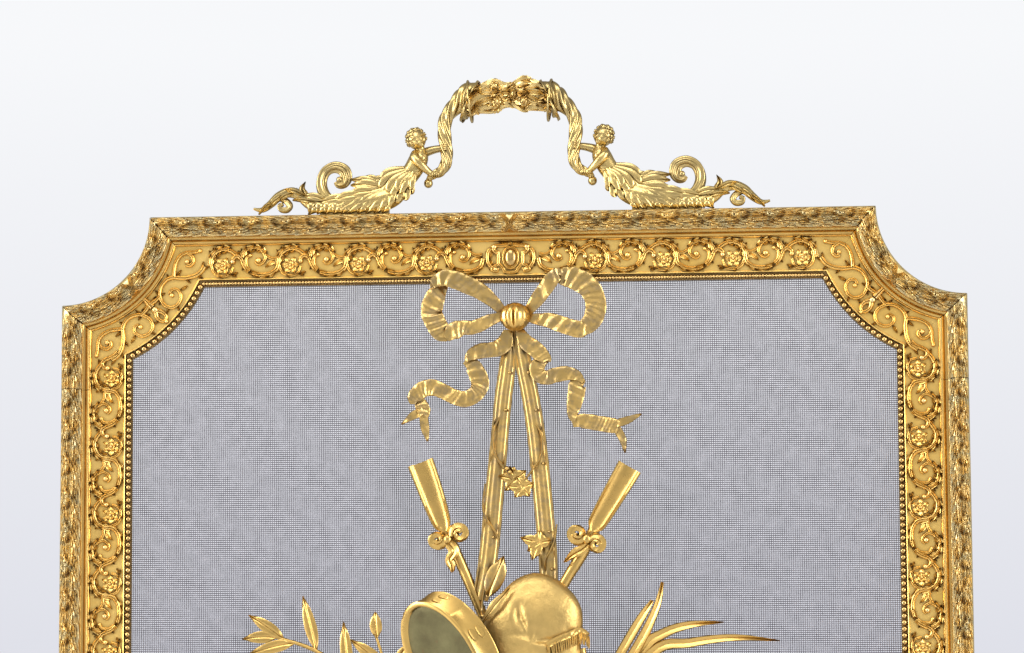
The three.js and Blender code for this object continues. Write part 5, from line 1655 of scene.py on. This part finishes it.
bm = bmesh.new()
addTo(bm, footCurve(), lambda co: Vector((foot["middle"] * mm + co.z, co.x, co.y)))
leafOnLeg = legLeaf()
spiral = [(7.4 * (1 - i / 26) * math.cos(0.42 * i - 0.6),
           7.4 * (1 - i / 26) * math.sin(0.42 * i - 0.6)) for i in range(20)]
sideRoll = bmesh.new()
addBand(sideRoll, spiral, 0.9, 0.5, 0)
addBead(sideRoll, (0, 0, 0.4), 2.3, 12)
addBand(sideRoll, [(5, -4), (16, -5.6), (30, -2.6), (46, 5), (64, 13), (79, 20)], 0.9, 0.7, 0)
rollMesh = asMesh(sideRoll)
for side in (1, -1):
    addTo(bm, leafOnLeg, onLeg(side), flip=side < 0)
    for flank in (1, -1):
        outside = foot["halfWidth"] + foot["rounding"]
        addTo(bm, rollMesh, lambda co: Vector((foot["middle"] + flank * (outside + co.z),
                                               side * (co.x - 95.5),
                                               co.y + 9.7)) * mm, flip=side * flank < 0)
shell = bmesh.new()
fanOfLeaves(shell, (0, 9), [(x, -abs(x) * -0.3 - 1) for x in (-9, -6, -3, 0, 3, 6, 9)], 1.7,
            lift=(0.2, 1.6), rows=6)
addBead(shell, (0, 8.4, 0.8), 1.8, 10)
shellMesh = asMesh(shell)
for side in (1, -1):
    addTo(bm, shellMesh, lambda co: Vector((foot["middle"] + side * co.x, side * (-17.4 - co.z),
                                            39 + co.y * 0.9)) * mm)
plate = bmesh.new()
bmesh.ops.create_cube(plate, size=1)
for vert in plate.verts:
    vert.co = Vector((foot["middle"] + vert.co.x * 24, tabSize[0] / mm - 1.5 + vert.co.y * 2.9,
                      54 + vert.co.z * 28))
bmesh.ops.bevel(plate, geom=plate.edges[:], offset=0.5, segments=2, profile=0.5, material=-1, affect="EDGES")
addTo(bm, asMesh(plate), lambda co: co * mm)
for vert in bm.verts:  # soles flat on the floor
    vert.co.z = max(vert.co.z, 0)
mirroredPiece("footLeft", bm, footGilt, "foot_gilt", "foot_left")
newPiece("footRight", bm, footGilt, "foot_gilt", "foot_right")
print("feet shaped")

# finishes of the CAD pieces that stay
for name, node in cadNodes.items():
    if "screw" in name:
        finish = screwSteel
    elif name.startswith("retainer"):
        finish = backBrass
    elif name.startswith("foot"):
        finish = footGilt
    elif name.startswith(("horn", "cherub", "flower")):
        finish = handleGilt
    else:
        finish = trophyGilt
    node.data.materials.clear()
    node.data.materials.append(finish)

# floor, world and lights
studio = {
    "paleTop": (0.93, 0.94, 0.96), "shadedLow": (0.72, 0.73, 0.80),
    "frontToBack": [(0.0, 0.80), (0.12, 0.70), (0.3, 0.50), (0.5, 0.46), (0.75, 0.4), (1.0, 0.5)],
    "floorToTop": [(0.0, 0.15), (0.4, 0.45), (0.52, 0.95), (1.0, 0.85)],
}
floorMesh = bmesh.new()
bmesh.ops.create_grid(floorMesh, x_segments=1, y_segments=1, size=3)
floorData = asMesh(floorMesh, "floor")
floor = bpy.data.objects.new("floor", floorData)
bpy.context.scene.collection.objects.link(floor)
floorMat, floorTree, floorShader, floorCoords = startMaterial("paleFloor")
floorTone = rampNode(floorTree, noiseNode(floorTree, floorCoords, 3, 4),
                     [(0.3, (0.74, 0.74, 0.76)), (0.7, (0.80, 0.80, 0.82))])
floorTree.links.new(floorTone, floorShader.inputs["Base Color"])
floorShader.inputs["Roughness"].default_value = 0.7
floorData.materials.append(floorMat)

world = bpy.data.worlds.new("studio")
bpy.context.scene.world = world
world.use_nodes = True
sky = world.node_tree
sky.nodes.clear()
out = sky.nodes.new("ShaderNodeOutputWorld")
direction = sky.nodes.new("ShaderNodeTexCoord").outputs["Generated"]
split = sky.nodes.new("ShaderNodeSeparateXYZ")
sky.links.new(direction, split.inputs["Vector"])
# painted shade: the backdrop the camera sees darkens towards the horizon, a painted shadow behind the wire
# cloth
heightTone = rampNode(sky, rangeNode(sky, split.outputs["Z"], 0.0, 1.0),
                      [(0.0, studio["shadedLow"]), (0.19, studio["paleTop"])])
seen = addNode(sky, "ShaderNodeBackground", Strength=1.0)
sky.links.new(heightTone, seen.inputs["Color"])
ahead = addNode(sky, "ShaderNodeMapRange", From_Min=-1.0, From_Max=1.0)
sky.links.new(split.outputs["Y"], ahead.inputs["Value"])
facing = rampNode(sky, ahead.outputs["Result"], [(at, (glow,) * 3) for at, glow in studio["frontToBack"]])
level = addNode(sky, "ShaderNodeMapRange", From_Min=-1.0, From_Max=1.0)
sky.links.new(split.outputs["Z"], level.inputs["Value"])
rising = rampNode(sky, level.outputs["Result"], [(at, (glow,) * 3) for at, glow in studio["floorToTop"]])
lightTone = mixNode(sky, 1.0, facing, rising, "MULTIPLY")
lit = addNode(sky, "ShaderNodeBackground", Strength=1.0)
sky.links.new(lightTone, lit.inputs["Color"])
pathInfo = sky.nodes.new("ShaderNodeLightPath")
choose = sky.nodes.new("ShaderNodeMixShader")
sky.links.new(pathInfo.outputs["Is Camera Ray"], choose.inputs["Fac"])
sky.links.new(lit.outputs["Background"], choose.inputs[1])
sky.links.new(seen.outputs["Background"], choose.inputs[2])
sky.links.new(choose.outputs["Shader"], out.inputs["Surface"])


def areaLight(name, place, target, size, power, colour=(1, 1, 1)):
    data = bpy.data.lights.new(name, "AREA")
    data.shape = "RECTANGLE"
    data.size, data.size_y = size
    data.energy = power
    data.color = colour
    lamp = bpy.data.objects.new(name, data)
    aim = Vector(target) - Vector(place)
    lamp.matrix_world = Matrix.Translation(place) @ aim.to_track_quat("-Z", "Y").to_matrix().to_4x4()
    bpy.context.scene.collection.objects.link(lamp)


middle = (0, 0, 0.55)
areaLight("overheadSoftbox", (-0.3, -1.3, 2.3), middle, (1.8, 0.7), 20)
areaLight("leftSoftbox", (-2.0, -1.0, 1.0), middle, (0.8, 1.8), 46)
areaLight("rightSoftbox", (2.1, -1.1, 1.0), middle, (0.8, 1.6), 38)
print("stage and lights set")
